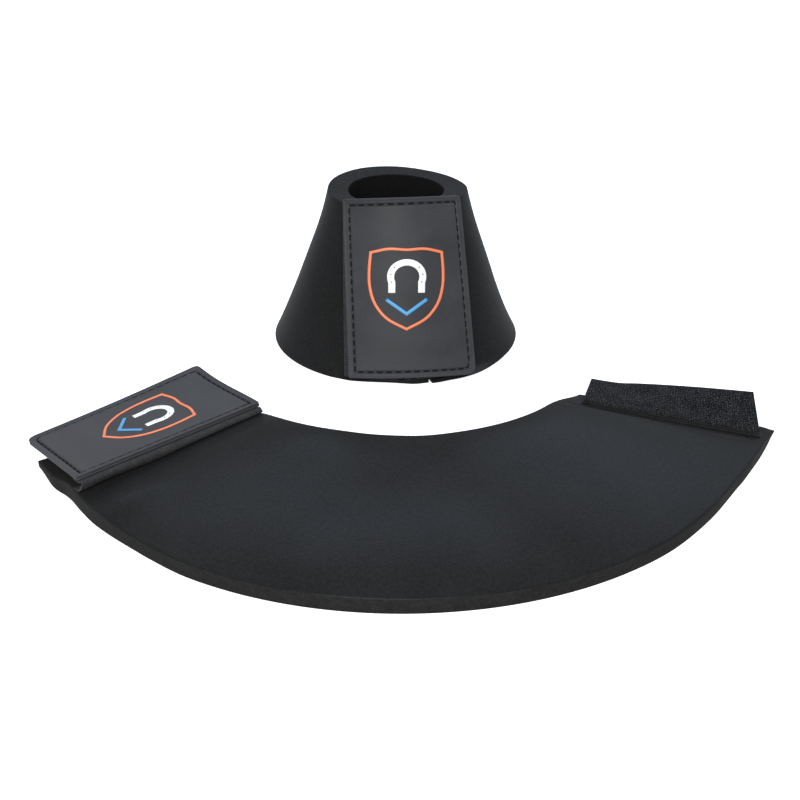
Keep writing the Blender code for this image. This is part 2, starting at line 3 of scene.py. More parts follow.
import bmesh
import bpy
import numpy as np
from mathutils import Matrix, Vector


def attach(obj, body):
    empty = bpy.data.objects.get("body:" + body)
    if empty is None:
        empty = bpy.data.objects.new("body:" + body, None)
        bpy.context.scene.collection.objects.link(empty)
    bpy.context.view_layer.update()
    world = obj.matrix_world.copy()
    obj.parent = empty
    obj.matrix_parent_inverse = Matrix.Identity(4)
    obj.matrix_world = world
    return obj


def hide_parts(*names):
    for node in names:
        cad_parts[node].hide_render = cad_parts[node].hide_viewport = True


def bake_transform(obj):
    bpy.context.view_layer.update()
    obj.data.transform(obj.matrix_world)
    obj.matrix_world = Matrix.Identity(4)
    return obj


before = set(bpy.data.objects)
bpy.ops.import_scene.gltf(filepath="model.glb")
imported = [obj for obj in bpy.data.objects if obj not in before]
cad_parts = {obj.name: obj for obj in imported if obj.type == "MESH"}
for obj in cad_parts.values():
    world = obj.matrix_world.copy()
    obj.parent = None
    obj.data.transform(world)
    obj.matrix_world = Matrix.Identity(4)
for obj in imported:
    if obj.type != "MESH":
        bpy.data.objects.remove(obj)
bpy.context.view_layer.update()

# Sizes of the boots, in metres and radians, as the solids have them. SHIFT centres the pair,
# ALPHA is the cone's half angle, SLANT its side and APEX the slant from its tip to the narrow end.
SHIFT = np.array((0.001017, -0.015336, 0.0))
BOTTOM_RADIUS = 0.095
TOP_RADIUS = 0.0504
HIGH = 0.1196
WALL = 0.0106
SEAM = math.radians(15.2)
SEAM_GAP = 0.0005
ALPHA = math.atan2(BOTTOM_RADIUS - TOP_RADIUS, HIGH)
SLANT = math.hypot(BOTTOM_RADIUS - TOP_RADIUS, HIGH)
APEX = TOP_RADIUS / math.sin(ALPHA)
CLOSED = np.array((-0.0039, 0.1193, 0.0)) - SHIFT

# The lying boot's arc. Its ends flare out by FLARE from FLARE_START of the way.
OPEN_RADIUS = 0.2424
OUTER_HALF = math.radians(72.0)
INNER_HALF = math.radians(62.7)
TURN = math.radians(4.0)
MIDDLE_SLOPE = math.radians(13.2)
END_SLOPE = math.radians(8.8)
FLARE = 0.0115
FLARE_START = 0.78
CHAMFER = 0.0013

# The closure panel, laid flat, its hook tape and its badge
PANEL_LONG = 0.1295
PANEL_NARROW = 0.0805
PANEL_WIDE = 0.0922
PANEL_OVERHANG = 0.0072
PANEL_SEWN = 0.0364
PANEL_SEAT = 0.0049
BACKING = 0.001
COVER_LOW = 0.0013
COVER_TOP = 0.0039
GROOVE_INSET = 0.0046
HOOK_TAPE_WIDE = 0.043
HOOK_TAPE_INSET = 0.003
HOOK_TAPE_SHORT = 0.008
BADGE_ACROSS = 0.0435
BADGE_DOWN = 0.064
BADGE_SIZE = 0.029
SHIELD_BAND = 0.0019
CHEVRON_BAND = 0.0024
SHOE_BAND = 0.0046

# The fastening tab, laid flat. TAB_HALF is half its webbing's thickness and LOOPS_HIGH how high
# its loops stand over the webbing's face.
TAB_LONG = 0.036
TAB_WIDE = 0.114
TAB_TOP = 0.0098
TAB_ROOT = 0.012
TAB_LIFT = 0.0019
TAB_HALF = 0.0004
LOOPS_HIGH = 0.0009

# How the lying boot's panel and tab are seated and turned
WIDE_SHARE = -0.765
NARROW_SHARE = -0.845
BOW = 0.028
WIDE_LIFT = 0.0145
NARROW_LIFT = 0.0062
PANEL_ROLL = math.radians(-6.0)
PANEL_TWIST = math.radians(2.5)
TAB_TILT = math.radians(12.5)
TAB_TWIST = math.radians(10.0)
TAB_SKEW = math.radians(-8.0)

# How far the soft panel's corners hang off the flat solid's: at its narrow end near and far from
# its seat, then at its wide end. It sags in the middle of its narrow end and of its free edge.
PANEL_DRAPE = np.array(((0.0002, -0.0017, -0.0014), (-0.0021, -0.0018, -0.0009),
                        (0.0011, 0.0030, 0.0010), (0.0019, 0.0009, 0.0002)))
PANEL_END_SAG = 0.0022
PANEL_EDGE_SAG = 0.0012

# How far the lying boot's tab has crept along its root: at its left end by the root and by the
# free edge, then at its right end. The free edge waves (knots along it, then millimetres at them),
# and the root rises at its right end.
TAB_CREEP = (0.0014, 0.0038, 0.0062, -0.0019)
TAB_FREE_RISE = ((0, 0.05, 0.15, 0.3, 0.45, 0.7, 1),
                 (-0.9, -1.4, -2.4, -1.4, -0.6, 0.4, 1.2))
TAB_ROOT_RISE = 0.0014

# How the standing wall strays from its cone. Each table holds knots, then millimetres at them.
# By reach from the front: the lower edge's lift under the panel, and its lip right of the seam
UNDER_PANEL_LIFT = ((-0.05, -0.035, -0.0254, -0.016, -0.006, 0.006, 0.0127, 0.024),
                    (0, 0, 0.7, 1.2, 1.4, 0.7, 0, 0))
HEM_LIP = ((0.0245, 0.03, 0.036, 0.045, 0.06, 0.07, 0.08, 0.09, 0.1),
           (5.5, 6.2, 5, 5, 5.2, 3.6, 1.8, 0.8, 0))
# By share of the slant: the outer face all round and at each side, and the inner face
OUTER_FIT = ((0, 0.04, 0.1, 0.2, 0.35, 0.6, 0.8, 0.92, 1),
             (2.3, 1.6, 0.6, -0.4, -0.9, -0.8, 0.2, 1.1, 1.9))
LEFT_LEAN = ((0, 0.1, 0.3, 0.5, 0.7, 0.9, 1),
             (0, 0.1, 0.3, 0.7, 0.6, 0.5, 0.6))
RIGHT_LEAN = ((0, 0.1, 0.3, 0.5, 0.65, 0.85, 1),
              (0.9, 1.3, 1.3, 0.9, -0.1, -0.9, -0.4))
INNER_SWELL = ((0, 0.05, 0.15, 0.3, 1),
               (3.3, 2.4, 0.9, 0, 0))
# By degrees round the boot: the outer face at the narrow end, which is also skewed at the back
NECK_LEAN = ((-180, -150, -120, -90, -60, 0, 60, 90, 120, 150, 180),
             (0, 0.9, 0.2, -0.7, 0, 0, 0.3, 0.3, -1.6, -1.8, 0))
NECK_SKEW = 0.0011
CLOSED_WAVE = 0.0002
# The wall is held down as far right of its seam as the tab reaches and as far left of the front as
# the panel does, and rises past them over COVER_FADE.
TAB_COVERS = 0.0135
PANEL_COVERS = -0.0415
COVER_FADE = 0.009

# How the lying wall strays from its arc. By share of the half arc: how far its outer edge is
# drawn in, and how high its inner edge rolls
HEM_DRAWN = ((-1, -0.967, -0.945, -0.925, -0.9, -0.88, -0.86, -0.8, -0.75, -0.69, -0.63, -0.56,
              -0.48, -0.4, 0.4, 0.5, 0.6, 0.68, 0.74, 0.78, 0.82, 0.87, 0.93, 1),
             (0.8, -0.3, -0.5, -0.6, -0.1, 0.7, 0.6, 0, -0.1, 0.7, 1.4, 1.1, 0.1, 0, 0, 0.1, 1.1,
              1.5, 1.5, 0.9, -0.2, -0.7, -0.9, 0.5))
NECK_ROLL = ((-1, -0.85, -0.61, -0.47, -0.34, -0.2, -0.09, 0.03, 0.2, 0.4, 0.73, 0.9, 0.96, 1),
             (0, 0.6, 1.7, 2.1, 2.2, 1.4, 0.9, 0.3, 0.8, 1.1, 1.2, 1.1, 1.4, 2.4))
# By share of the slant: how high the padding stands
CROWN = ((0, 0.03, 0.08, 0.16, 0.3, 0.5, 0.72, 0.88, 0.96, 1),
         (1.4, 2.2, 3.2, 4.3, 5.2, 5.5, 4.6, 2.9, 1.6, 0.9))
# The right corner's reach along the arc and along the slant, and how it lifts below and dips above
CORNER_REACH = 0.0185
CORNER_OUT = 0.0014
CORNER_LIFT = 0.0020
CORNER_DIP = 0.0010
EDGE_DIP = 0.0012
# The left end: its dent under the panel, the panel's seat beside it, and the hem's curl and ripples
END_DENT = 0.0036
SEAT_RISE = 0.0032
END_CURL = 0.0022
DENT_CURL = 0.0006
HEM_RIPPLE = 0.0008
HEM_HEEL = 0.0011
OPEN_WAVE = 0.0004
# Where these moves act: the start and the width of their rise by share of the half arc, then by
# share of the slant
TIP_ZONE = ((0.97, 0.03), (0.92, 0.08))
EDGE_ZONE = ((0.93, 0.07), (0.8, 0.2))
HEM_ZONE = ((-0.8, -0.1), (0.75, 0.25))
DENT_ZONE = ((-0.86, -0.14), (0.62, 0.38))
# How much of the padding's height is left at the ends, and how much is lost under the tab's root
END_PADDING = 0.35
ROOT_PRESS = 0.85


def xyz(x, y, z):
    """Points from arrays of coordinates."""
    x, y, z = np.broadcast_arrays(x, y, z)
    return np.stack([x, y, z], -1).astype(float)


def unit(v):
    return v / np.linalg.norm(v, axis=-1, keepdims=True)


def step(x, start, width):
    """0 before start, 1 past start + width and smooth between, or the other way if width is
    negative."""
    x = np.clip((x - start) / width, 0.0, 1.0)
    return x * x * (3 - 2 * x)


def curve(t, knots, values):
    """A smooth curve through values at knots, level beyond them."""
    knots, values = np.array(knots, float), np.array(values, float)
    slopes = np.gradient(values, knots)
    t = np.clip(t, knots[0], knots[-1])
    k = np.clip(np.searchsorted(knots, t, side="right") - 1, 0, len(knots) - 2)
    width = knots[k + 1] - knots[k]
    x = (t - knots[k]) / width
    return ((2 * x ** 3 - 3 * x ** 2 + 1) * values[k] + (x ** 3 - 2 * x ** 2 + x) * width * slopes[k]
            + (3 * x ** 2 - 2 * x ** 3) * values[k + 1] + (x ** 3 - x ** 2) * width * slopes[k + 1])


def strays(t, table):
    """Metres at t, from a table of knots and millimetres."""
    return curve(t, *table) / 1000


def turned(v, axis, angle):
    """v turned about an axis."""
    angle = np.asarray(angle, float)[..., None]
    axis = np.broadcast_to(axis, np.broadcast_shapes(np.shape(v), angle.shape[:-1] + (3,)))
    v = np.broadcast_to(v, axis.shape)
    along = (v * axis).sum(-1, keepdims=True) * axis
    return along + (v - along) * np.cos(angle) + np.cross(axis, v) * np.sin(angle)


def length_along(line):
    """How far each point of a line lies along it."""
    return np.concatenate([[0], np.cumsum(np.linalg.norm(np.diff(line, axis=0), axis=1))])


def point_at(line, at):
    """The point of a line at a distance along it, or points at several."""
    reach = length_along(line)
    return np.stack([np.interp(at, reach, line[:, 0]), np.interp(at, reach, line[:, 1])], -1)


def between(corners, along, across):
    """A value between those of four corners: near and far at the start, near and far at the end."""
    near = corners[0] + (corners[2] - corners[0]) * along
    far = corners[1] + (corners[3] - corners[1]) * along
    return near + (far - near) * across


# ---- places on the boots

def bell(azimuth, slant, lift):
    """A point of the standing boot's wall."""
    radius = TOP_RADIUS + slant * math.sin(ALPHA) + lift * math.cos(ALPHA)
    height = HIGH - slant * math.cos(ALPHA) + lift * math.sin(ALPHA)
    return xyz(radius * np.sin(azimuth), -radius * np.cos(azimuth), height) + CLOSED


def bell_bottom(lift):
    return (HIGH + lift * math.sin(ALPHA)) / math.cos(ALPHA)


def wrapped(across, down, lift, turn=0.0):
    """A point of a flat pattern wrapped round the standing boot."""
    reach = np.hypot(across, APEX + down)
    angle = np.arctan2(across, APEX + down) / math.sin(ALPHA)
    return bell(turn + angle, reach - APEX, lift)


def open_slope(share):
    return MIDDLE_SLOPE + (END_SLOPE - MIDDLE_SLOPE) * share * share


def open_rim(share):
    past = np.maximum(0.0, np.abs(share) - FLARE_START) / (1 - FLARE_START)
    slope = open_slope(share)
    radius = OPEN_RADIUS + FLARE * past * past + WALL * np.sin(slope)
    return radius, WALL * np.cos(slope) - CHAMFER * np.sin(slope)


def opened(share, slant, lift):
    """A point of the lying boot's wall."""
    slope = open_slope(share)
    rim_radius, rim_height = open_rim(share)
    neck_radius = rim_radius - SLANT * np.cos(slope)
    neck_height = rim_height + SLANT * np.sin(slope)
    rim_angle = TURN + share * OUTER_HALF
    neck_angle = TURN + share * INNER_HALF
    rim = xyz(rim_radius * np.sin(rim_angle), -rim_radius * np.cos(rim_angle), rim_height)
    neck = xyz(neck_radius * np.sin(neck_angle), -neck_radius * np.cos(neck_angle), neck_height)
    part = np.asarray(slant / SLANT, float)
    angle = neck_angle + (rim_angle - neck_angle) * part
    normal = xyz(np.sin(slope) * np.sin(angle), -np.sin(slope) * np.cos(angle), np.cos(slope))
    part = np.broadcast_to(part, np.shape(angle))[..., None]
    lift = np.broadcast_to(lift, np.shape(angle))[..., None]
    return neck + (rim - neck) * part + normal * lift - SHIFT


def open_half_arc(share, slant):
    """Length of half the lying boot's arc at a slant distance."""
    radius = open_rim(share)[0] - (SLANT - slant) * np.cos(open_slope(share))
    return radius * (INNER_HALF + (OUTER_HALF - INNER_HALF) * slant / SLANT)


def closed_panel(across, down, lift):
    return wrapped(across - PANEL_SEWN, down - PANEL_OVERHANG, PANEL_SEAT + lift)


def closed_panel_foot(across, down, lift):
    return wrapped(across - PANEL_SEWN, down - PANEL_OVERHANG, lift)


def closed_tab_foot(across, down, lift):
    return wrapped(TAB_ROOT - across, TAB_TOP + down, lift, SEAM)


def closed_tab(across, down, lift):
    return closed_tab_foot(across, down, TAB_LIFT + lift)


def seat_share(along):
    return WIDE_SHARE + (NARROW_SHARE - WIDE_SHARE) * along + 4 * BOW * along * (1 - along)


def axes(start, stop, tilt):
    """Along a line, out from it at a tilt from level, and the normal of the two."""
    along = unit(stop - start)
    side = turned(unit(np.array((-along[1], along[0], 0.0))), along, tilt)
    return along, side, np.cross(along, side)


def open_panel(across, down, lift):
    """A point of the lying boot's panel, a little sagged at its narrow end."""
    wide = opened(np.array(seat_share(0.0)), SLANT, WIDE_LIFT)
    narrow = opened(np.array(seat_share(1.0)), 0.0, NARROW_LIFT)
    down, across = np.asarray(down, float), np.asarray(across, float)
    rise, side, normal = axes(wide, narrow, PANEL_ROLL + PANEL_TWIST * (1 - 2 * down / PANEL_LONG))
    corner = (wide + narrow) / 2 - rise * PANEL_LONG / 2
    wide_part = np.clip(down / PANEL_LONG, 0, 1)
    far_part = np.clip(across / (PANEL_NARROW + (PANEL_WIDE - PANEL_NARROW) * wide_part), 0, 1)
    sag = PANEL_END_SAG * (1 - wide_part) ** 3 * np.sin(np.pi * far_part ** 1.6)
    sag = sag + PANEL_EDGE_SAG * far_part * np.sin(np.pi * wide_part)
    lift = np.asarray(lift - sag, float)
    spot = corner + rise * (PANEL_LONG - down)[..., None] + side * across[..., None] + normal * lift[..., None]
    return spot + between(PANEL_DRAPE, wide_part[..., None], far_part[..., None])


def open_panel_foot(across, down, lift):
    along = 1 - down / PANEL_LONG
    share = seat_share(along)
    slant = SLANT * (1 - along)
    return opened(share - across / open_half_arc(share, slant), slant, lift)


def open_tab_share(slant, inward):
    return 1 - inward / open_half_arc(1.0, slant)


def open_tab(across, down, lift):
    """A point of the lying boot's tab."""
    last = TAB_TOP + TAB_WIDE
    start = opened(open_tab_share(TAB_TOP, TAB_ROOT), TAB_TOP, TAB_LIFT)
    stop = opened(open_tab_share(last, TAB_ROOT), last, TAB_LIFT)
    down, across = np.asarray(down, float), np.asarray(across, float)
    along, side, normal = axes(start, stop, TAB_TILT + TAB_TWIST * (2 * down / TAB_WIDE - 1))
    side = turned(side, normal, TAB_SKEW)
    right = np.clip(down / TAB_WIDE, 0, 1)
    free = np.clip(across / TAB_LONG, 0, 1)
    down = down + between(TAB_CREEP, right, free)
    rise = strays(right, TAB_FREE_RISE) * free + TAB_ROOT_RISE * right ** 4 * (1 - free)
    lift = np.asarray(lift + rise, float)
    return start + along * down[..., None] + side * across[..., None] + normal * lift[..., None]


def open_tab_foot(across, down, lift):
    slant = TAB_TOP + down
    return opened(open_tab_share(slant, TAB_ROOT - across), slant, lift)


# ---- making meshes

def add_object(name, data):
    item = bpy.data.objects.new(name, data)
    bpy.context.scene.collection.objects.link(item)
    return item


def add_mesh(name, points, faces, uv, material):
    """A mesh object with outward normals and the flat pattern's coordinates as its UVs."""
    mesh = bpy.data.meshes.new(name)
    mesh.from_pydata(np.asarray(points, float).tolist(), [], faces)
    index = np.zeros(len(mesh.loops), np.int32)
    mesh.loops.foreach_get("vertex_index", index)
    layer = mesh.uv_layers.new(name="pattern")
    layer.data.foreach_set("uv", np.asarray(uv, np.float32)[index].ravel())
    work = bmesh.new()
    work.from_mesh(mesh)
    bmesh.ops.recalc_face_normals(work, faces=work.faces)
    work.to_mesh(mesh)
    work.free()
    mesh.shade_smooth()
    mesh.materials.append(material)
    return add_object(name, mesh)


def grid_faces(rows, columns, start=0, wrap_columns=True, wrap_rows=False, capped=False):
    """Faces between rows of points that are numbered from start."""
    faces = []
    for row in range(rows if wrap_rows else rows - 1):
        here = start + row * columns
        there = start + (row + 1) % rows * columns
        for column in range(columns if wrap_columns else columns - 1):
            after = (column + 1) % columns
            faces.append((here + column, here + after, there + after, there + column))
    if capped:
        faces += [tuple(range(columns))[::-1], tuple((rows - 1) * columns + k for k in range(columns))]
    return faces


def join(parts):
    """One mesh's points, faces and UVs from several."""
    points, faces, uvs, count = [], [], [], 0
    for spots, quads, uv in parts:
        points.append(np.asarray(spots, float).reshape(-1, 3))
        uvs.append(np.asarray(uv, float).reshape(-1, 2))
        faces += [tuple(i + count for i in face) for face in quads]
        count += len(points[-1])
    return np.concatenate(points), faces, np.concatenate(uvs)


# ---- the padded walls

FACE_STEPS = 46
CORNER_STEPS = 5
END_STEPS = 6


def wall_section(inset, radius):
    """Half of the wall's section: slant and lift from the middle of its top edge, over its outer
    face, to the middle of its bottom edge."""
    r = max(radius - inset, 0.0005)
    top, bottom, out = inset, SLANT - inset, -inset
    corner = [k / CORNER_STEPS * math.pi / 2 for k in range(CORNER_STEPS + 1)]
    half = [(top, -WALL / 2)]
    half += [(top + r - r * math.cos(a), out - r + r * math.sin(a)) for a in corner]
    for k in range(1, FACE_STEPS):
        part = k / FACE_STEPS
        part = 0.4 * part + 0.6 * (0.5 - 0.5 * math.cos(math.pi * part))
        half.append((top + r + (bottom - top - 2 * r) * part, out))
    half += [(bottom - r + r * math.sin(a), out - r + r * math.cos(a)) for a in corner]
    return half + [(bottom, -WALL / 2)]


def add_wall(name, place, pattern, stations, radius, ends):
    """A padded wall swept through its stations, with rounded ends where asked. Its materials are
    the cover's, the edges' and the lining's."""
    turn = [k / END_STEPS * math.pi / 2 for k in range(END_STEPS)]
    turn = [(radius * (1 - math.cos(a)), radius * (1 - math.sin(a)) * 0.95) for a in turn]
    rows = [(u, 0.0, 0.0) for u in stations]
    if ends[0]:
        rows[:2] = [(stations[0], *move) for move in turn] + [(stations[0], radius, 0.0)]
    if ends[1]:
        rows[-2:] = [(stations[-1], radius, 0.0)] + [(stations[-1], *move) for move in turn[::-1]]
    points, uvs = [], []
    for u, trim, inset in rows:
        section = wall_section(inset, radius)
        loop = np.array(section + [(s, -WALL - lift) for s, lift in section[-2:0:-1]])
        points.append(place(u, trim, loop[:, 0], loop[:, 1]))
        uvs.append(pattern(u, loop[:, 0], loop[:, 1]))
    count = len(points[0])
    faces = grid_faces(len(rows), count)
    half = len(section)
    part = np.arange(count)
    part = np.minimum(part, count - 1 - part)
    around = np.where((part < 3) | (part > half - 5), 1, 0)
    around = np.where((around == 0) & (np.arange(count) >= half), 2, around)
    slots = np.tile(around, len(rows) - 1)
    for k in range(len(rows) - 1):
        if (ends[0] and k < END_STEPS - 2) or (ends[1] and k > len(rows) - END_STEPS):
            slots[k * count:(k + 1) * count] = 1
    for row, closed in ((0, ends[0]), (len(rows) - 1, ends[1])):
        if closed:
            base = row * count
            for k in range(half - 1):
                quad = [base + k, base + k + 1, base + (count - k - 1) % count, base + (count - k) % count]
                faces.append(tuple(dict.fromkeys(quad)))
    item = add_mesh(name, np.concatenate(points), faces, np.concatenate(uvs), KNIT)
    for material in (EDGE, LINING):
        item.data.materials.append(material)
    slots = np.concatenate([slots, np.ones(len(faces) - len(slots), int)])
    item.data.polygons.foreach_set("material_index", slots.astype(np.int32))
    return item


def outward(lift):
    """1 on the outer face and 0 on the inner one."""
    return np.clip((lift + WALL) / WALL, 0, 1)


def closed_place(side):
    """Gives a function for the points of the standing wall left (-1) or right (1) of its seam."""
    def place(u, trim, slant, lift):
        part, out = slant / SLANT, outward(lift)
        top = lift * math.tan(ALPHA)
        real = top + (bell_bottom(lift) - top) * part
        radius = TOP_RADIUS + real * math.sin(ALPHA) + lift * math.cos(ALPHA)
        azimuth = SEAM + side * (SEAM_GAP / 2 + trim) / radius + u
        around = (azimuth + math.pi) % (2 * math.pi) - math.pi
        reach = around * radius
        turns = np.degrees(around)
        back = step(np.abs(around), 1.2, 0.7)
        real = real + NECK_SKEW * np.sin(around) * back * np.clip(1 - part / 0.3, 0, 1) ** 1.5
        real = real - strays(reach, UNDER_PANEL_LIFT) * step(part, 0.93, 0.07)
        # Under the panel and the tab, the outer face doesn't rise
        free = step(reach - SEAM * radius, TAB_COVERS, COVER_FADE) + step(reach, PANEL_COVERS, -COVER_FADE)
        fit = strays(part, OUTER_FIT)
        fit = np.where(fit > 0, fit * free, fit)
        lean = strays(turns, NECK_LEAN) * np.clip(1 - part / 0.4, 0, 1) * free
        sides = step(np.abs(turns), 180, -70) * free
        lean = lean + strays(part, LEFT_LEAN) * step(turns, -20, -50) * sides
        lean = lean + strays(part, RIGHT_LEAN) * step(turns, 20, 50) * sides
        lean = lean + np.where(around > SEAM, strays(reach, HEM_LIP), 0) * step(part, 0.955, 0.045)
        wave = CLOSED_WAVE * np.sin(5 * u + 2.0) * np.sin(np.pi * part)
        swell = strays(part, INNER_SWELL) * (1 - out)
        point = bell(azimuth, real, lift + (fit + lean + wave) * out - swell)
        point[..., 2] = np.maximum(point[..., 2], 0.0)
        return point
    return place


def closed_pattern(u, slant, lift):
    reach = APEX + slant
    angle = u * math.sin(ALPHA)
    return np.stack([reach * np.sin(angle) + 0 * lift, reach * np.cos(angle) - lift], -1)


def open_place(u, trim, slant, lift):
    """A point of the lying boot's wall, padded and draped."""
    share = np.sign(u) * (abs(u) - trim / open_half_arc(u, slant))
    part, out = slant / SLANT, outward(lift)
    end = np.clip((abs(u) - 0.8) / 0.2, 0, 1)
    share = share + (CORNER_REACH * part ** 4 * end ** 4 if u > 0 else 0 * part)
    # Each is 1 inside its zone, and so is seat at the panel's seat
    tip, edge, hem, dent = (step(u, *reach) * step(part, *depth)
                            for reach, depth in (TIP_ZONE, EDGE_ZONE, HEM_ZONE, DENT_ZONE))
    seat = step(u, -0.92, 0.1) * step(u, -0.62, -0.1) * step(part, 0.55, 0.35)
    slant = slant - strays(u, HEM_DRAWN) * step(part, 0.55, 0.45) + CORNER_OUT * tip * out
    # The padding is pressed at both ends, and flat under the tab's root
    pressed = END_PADDING + (1 - END_PADDING) * step(u, -0.88, 0.2) * step(u, 1.02, -0.16)
    root = (1 - u) * open_half_arc(1.0, slant)
    pressed = pressed * (1 - ROOT_PRESS * step(root, 0.027, -0.012) * step(part, 0.02, 0.06))
    neck = strays(u, NECK_ROLL) * step(part, 0.25, -0.25)
    wave = OPEN_WAVE * np.sin(9 * u + 1.0 + 2 * part) * (1 - np.abs(2 * part - 1) ** 2.4)
    rise = strays(part, CROWN) * pressed + neck + wave + SEAT_RISE * seat - END_DENT * dent
    heel = HEM_HEEL * step(part, 0.9, 0.1) * (1 - out)
    heel = heel + hem * HEM_RIPPLE * np.sin((u + 0.94) * 42.0)
    spot = opened(share, slant + heel, lift + rise * out)
    curl = (END_CURL * hem * step(u, -0.93, -0.07) + DENT_CURL * dent + CORNER_LIFT * tip) * (1 - out)
    curl = curl - (EDGE_DIP * edge * step(part, 0.93, 0.07) + CORNER_DIP * tip) * out
    spot[..., 2] = np.maximum(spot[..., 2] + curl, 0.0)
    return spot


def open_pattern(u, slant, lift):
    spot = opened(np.full(np.shape(slant), float(u)), slant, 0 * lift)
    return np.stack([spot[..., 0], spot[..., 1] - lift], -1)


# ---- the closure panels

PANEL_CORNER_RADII = (0.0018, 0.0042, 0.0072, 0.0018)
CORNER_POINTS = 7
END_POINTS = 40
SIDE_POINTS = 58


def panel_outline(inset, corner_moves):
    """The panel's outline, drawn in by an inset, always with the same count of points."""
    lean = (PANEL_WIDE - PANEL_NARROW) / PANEL_LONG
    free = inset * math.hypot(1, lean)
    top, bottom = inset, PANEL_LONG - inset
    corners = corner_moves + np.array(((inset, top), (PANEL_NARROW + lean * top - free, top),
                                       (PANEL_NARROW + lean * bottom - free, bottom), (inset, bottom)))
    sizes = [max(radius - inset * 0.6, 0.0006) for radius in PANEL_CORNER_RADII]
    out = []
    for k, here in enumerate(corners):
        before, after = corners[k - 1], corners[(k + 1) % 4]
        start, end = here + unit(before - here) * sizes[k], here + unit(after - here) * sizes[k]
        for t in np.arange(CORNER_POINTS + 1) / CORNER_POINTS:
            out.append((1 - t) ** 2 * start + 2 * t * (1 - t) * here + t * t * end)
        stop = after + unit(here - after) * sizes[(k + 1) % 4]
        count = SIDE_POINTS if k % 2 else END_POINTS
        out += [end + (stop - end) * k / count for k in range(1, count)]
    return np.array(out)


def panel_plate(place, levels, moves, crown=0.0):
    """A plate with the panel's outline: its section's levels, then a field drawn to the middle."""
    rings = [(panel_outline(inset, moves), lift) for inset, lift in levels]
    (first, low), (last, high) = rings[0], rings[-1]
    middle, count = last.mean(0), len(first)
    rings = [(middle + (first - middle) * part, low) for part in np.linspace(0.04, 0.96, 16)] + rings
    rings += [(middle + (last - middle) * part, high + crown * (1 - part ** 2))
              for part in np.linspace(1, 0, 27)[1:-1]]
    flat = np.concatenate([spots for spots, _ in rings] + [[middle, middle]])
    lifts = np.array([lift for _, lift in rings for _ in range(count)] + [low, high + crown])
    faces = grid_faces(len(rings), count)
    edge = (len(rings) - 1) * count
    for k in range(count):
        faces.append((len(flat) - 2, (k + 1) % count, k))
        faces.append((len(flat) - 1, edge + k, edge + (k + 1) % count))
    return place(flat[:, 0], flat[:, 1], lifts), faces, flat


def levels(base, *pairs):
    """Insets and heights over a base, from pairs in millimetres."""
    return [(inset / 1000, base + lift / 1000) for inset, lift in pairs]


# The moulded cover's side with a step, its bead, its groove and the start of its field
COVER_LEVELS = levels(COVER_LOW, (1.2, 0), (0.3, 0.1), (0, 0.4), (0, 1.2), (0.2, 1.4), (1.1, 1.5), (1.2, 1.7),
                      (0.3, 1.9))
COVER_LEVELS += levels(COVER_TOP, (0.1, -0.4), (0.1, 0.1), (0.3, 0.5), (0.7, 0.7), (1.2, 0.6), (1.6, 0.3),
                       (2, 0.1), (2.7, 0), (3.4, 0), (3.7, -0.3), (3.9, -0.9), (4.6, -1.1), (5.3, -0.9),
                       (5.5, -0.3), (5.8, 0), (6.4, 0.1), (8, 0))
BACKING_LEVELS = levels(0, (1.6, 0), (1.2, 0.1), (1, 0.3), (1, 0.7)) + levels(BACKING, (1.3, 0), (2.2, 0))


def tube(path, sides, radii, ups):
    """A closed tube about a path, with an elliptical section given by radii across and up."""
    count = len(path)
    rows = []
    for k in range(count):
        along = unit(path[min(k + 1, count - 1)] - path[max(k - 1, 0)])
        up = unit(ups[k] - along * (ups[k] * along).sum())
        side = np.cross(along, up)
        for a in 2 * math.pi * np.arange(sides) / sides:
            rows.append(path[k] + side * math.cos(a) * radii[k][0] + up * math.sin(a) * radii[k][1])
    rows = np.array(rows)
    return rows, grid_faces(count, sides, capped=True), rows[:, :2]


def stitches_along(line, place, lift, pitch=0.0063, length=0.0045, width=0.00052):
    """Single stitches along a line of the pattern."""
    total = length_along(line)[-1]
    number = int(total / pitch)
    t = np.linspace(0, 1, 7)
    bulge = np.sin(np.pi * t)
    heights = lift - 0.0003 + 0.0004 * bulge ** 0.6
    radii = np.stack([width * (0.55 + 0.45 * bulge ** 0.5), width * (0.45 + 0.4 * bulge ** 0.5)], -1)
    parts = []
    for k in range(number):
        spots = point_at(line, (k + 0.12) * total / number + t * length)
        path = place(spots[:, 0], spots[:, 1], heights)
        parts.append(tube(path, 7, radii, place(spots[:, 0], spots[:, 1], heights + 0.001) - path))
    return join(parts)


# ---- the badge: a shield, a horseshoe and a chevron

def smooth_path(points, count=8):
    """A smooth path through points (Catmull-Rom)."""
    points = [np.array(p, float) for p in points]
    ring = [2 * points[0] - points[1]] + points + [2 * points[-1] - points[-2]]
    out = []
    for k in range(1, len(ring) - 2):
        a, b, c, d = ring[k - 1:k + 3]
        for t in np.linspace(0, 1, count, endpoint=False):
            out.append(0.5 * (2 * b + (c - a) * t + (2 * a - 5 * b + 4 * c - d) * t * t
                              + (3 * b - a - 3 * c + d) * t ** 3))
    out.append(points[-1])
    return out


BADGE_HEIGHT = 0.0006


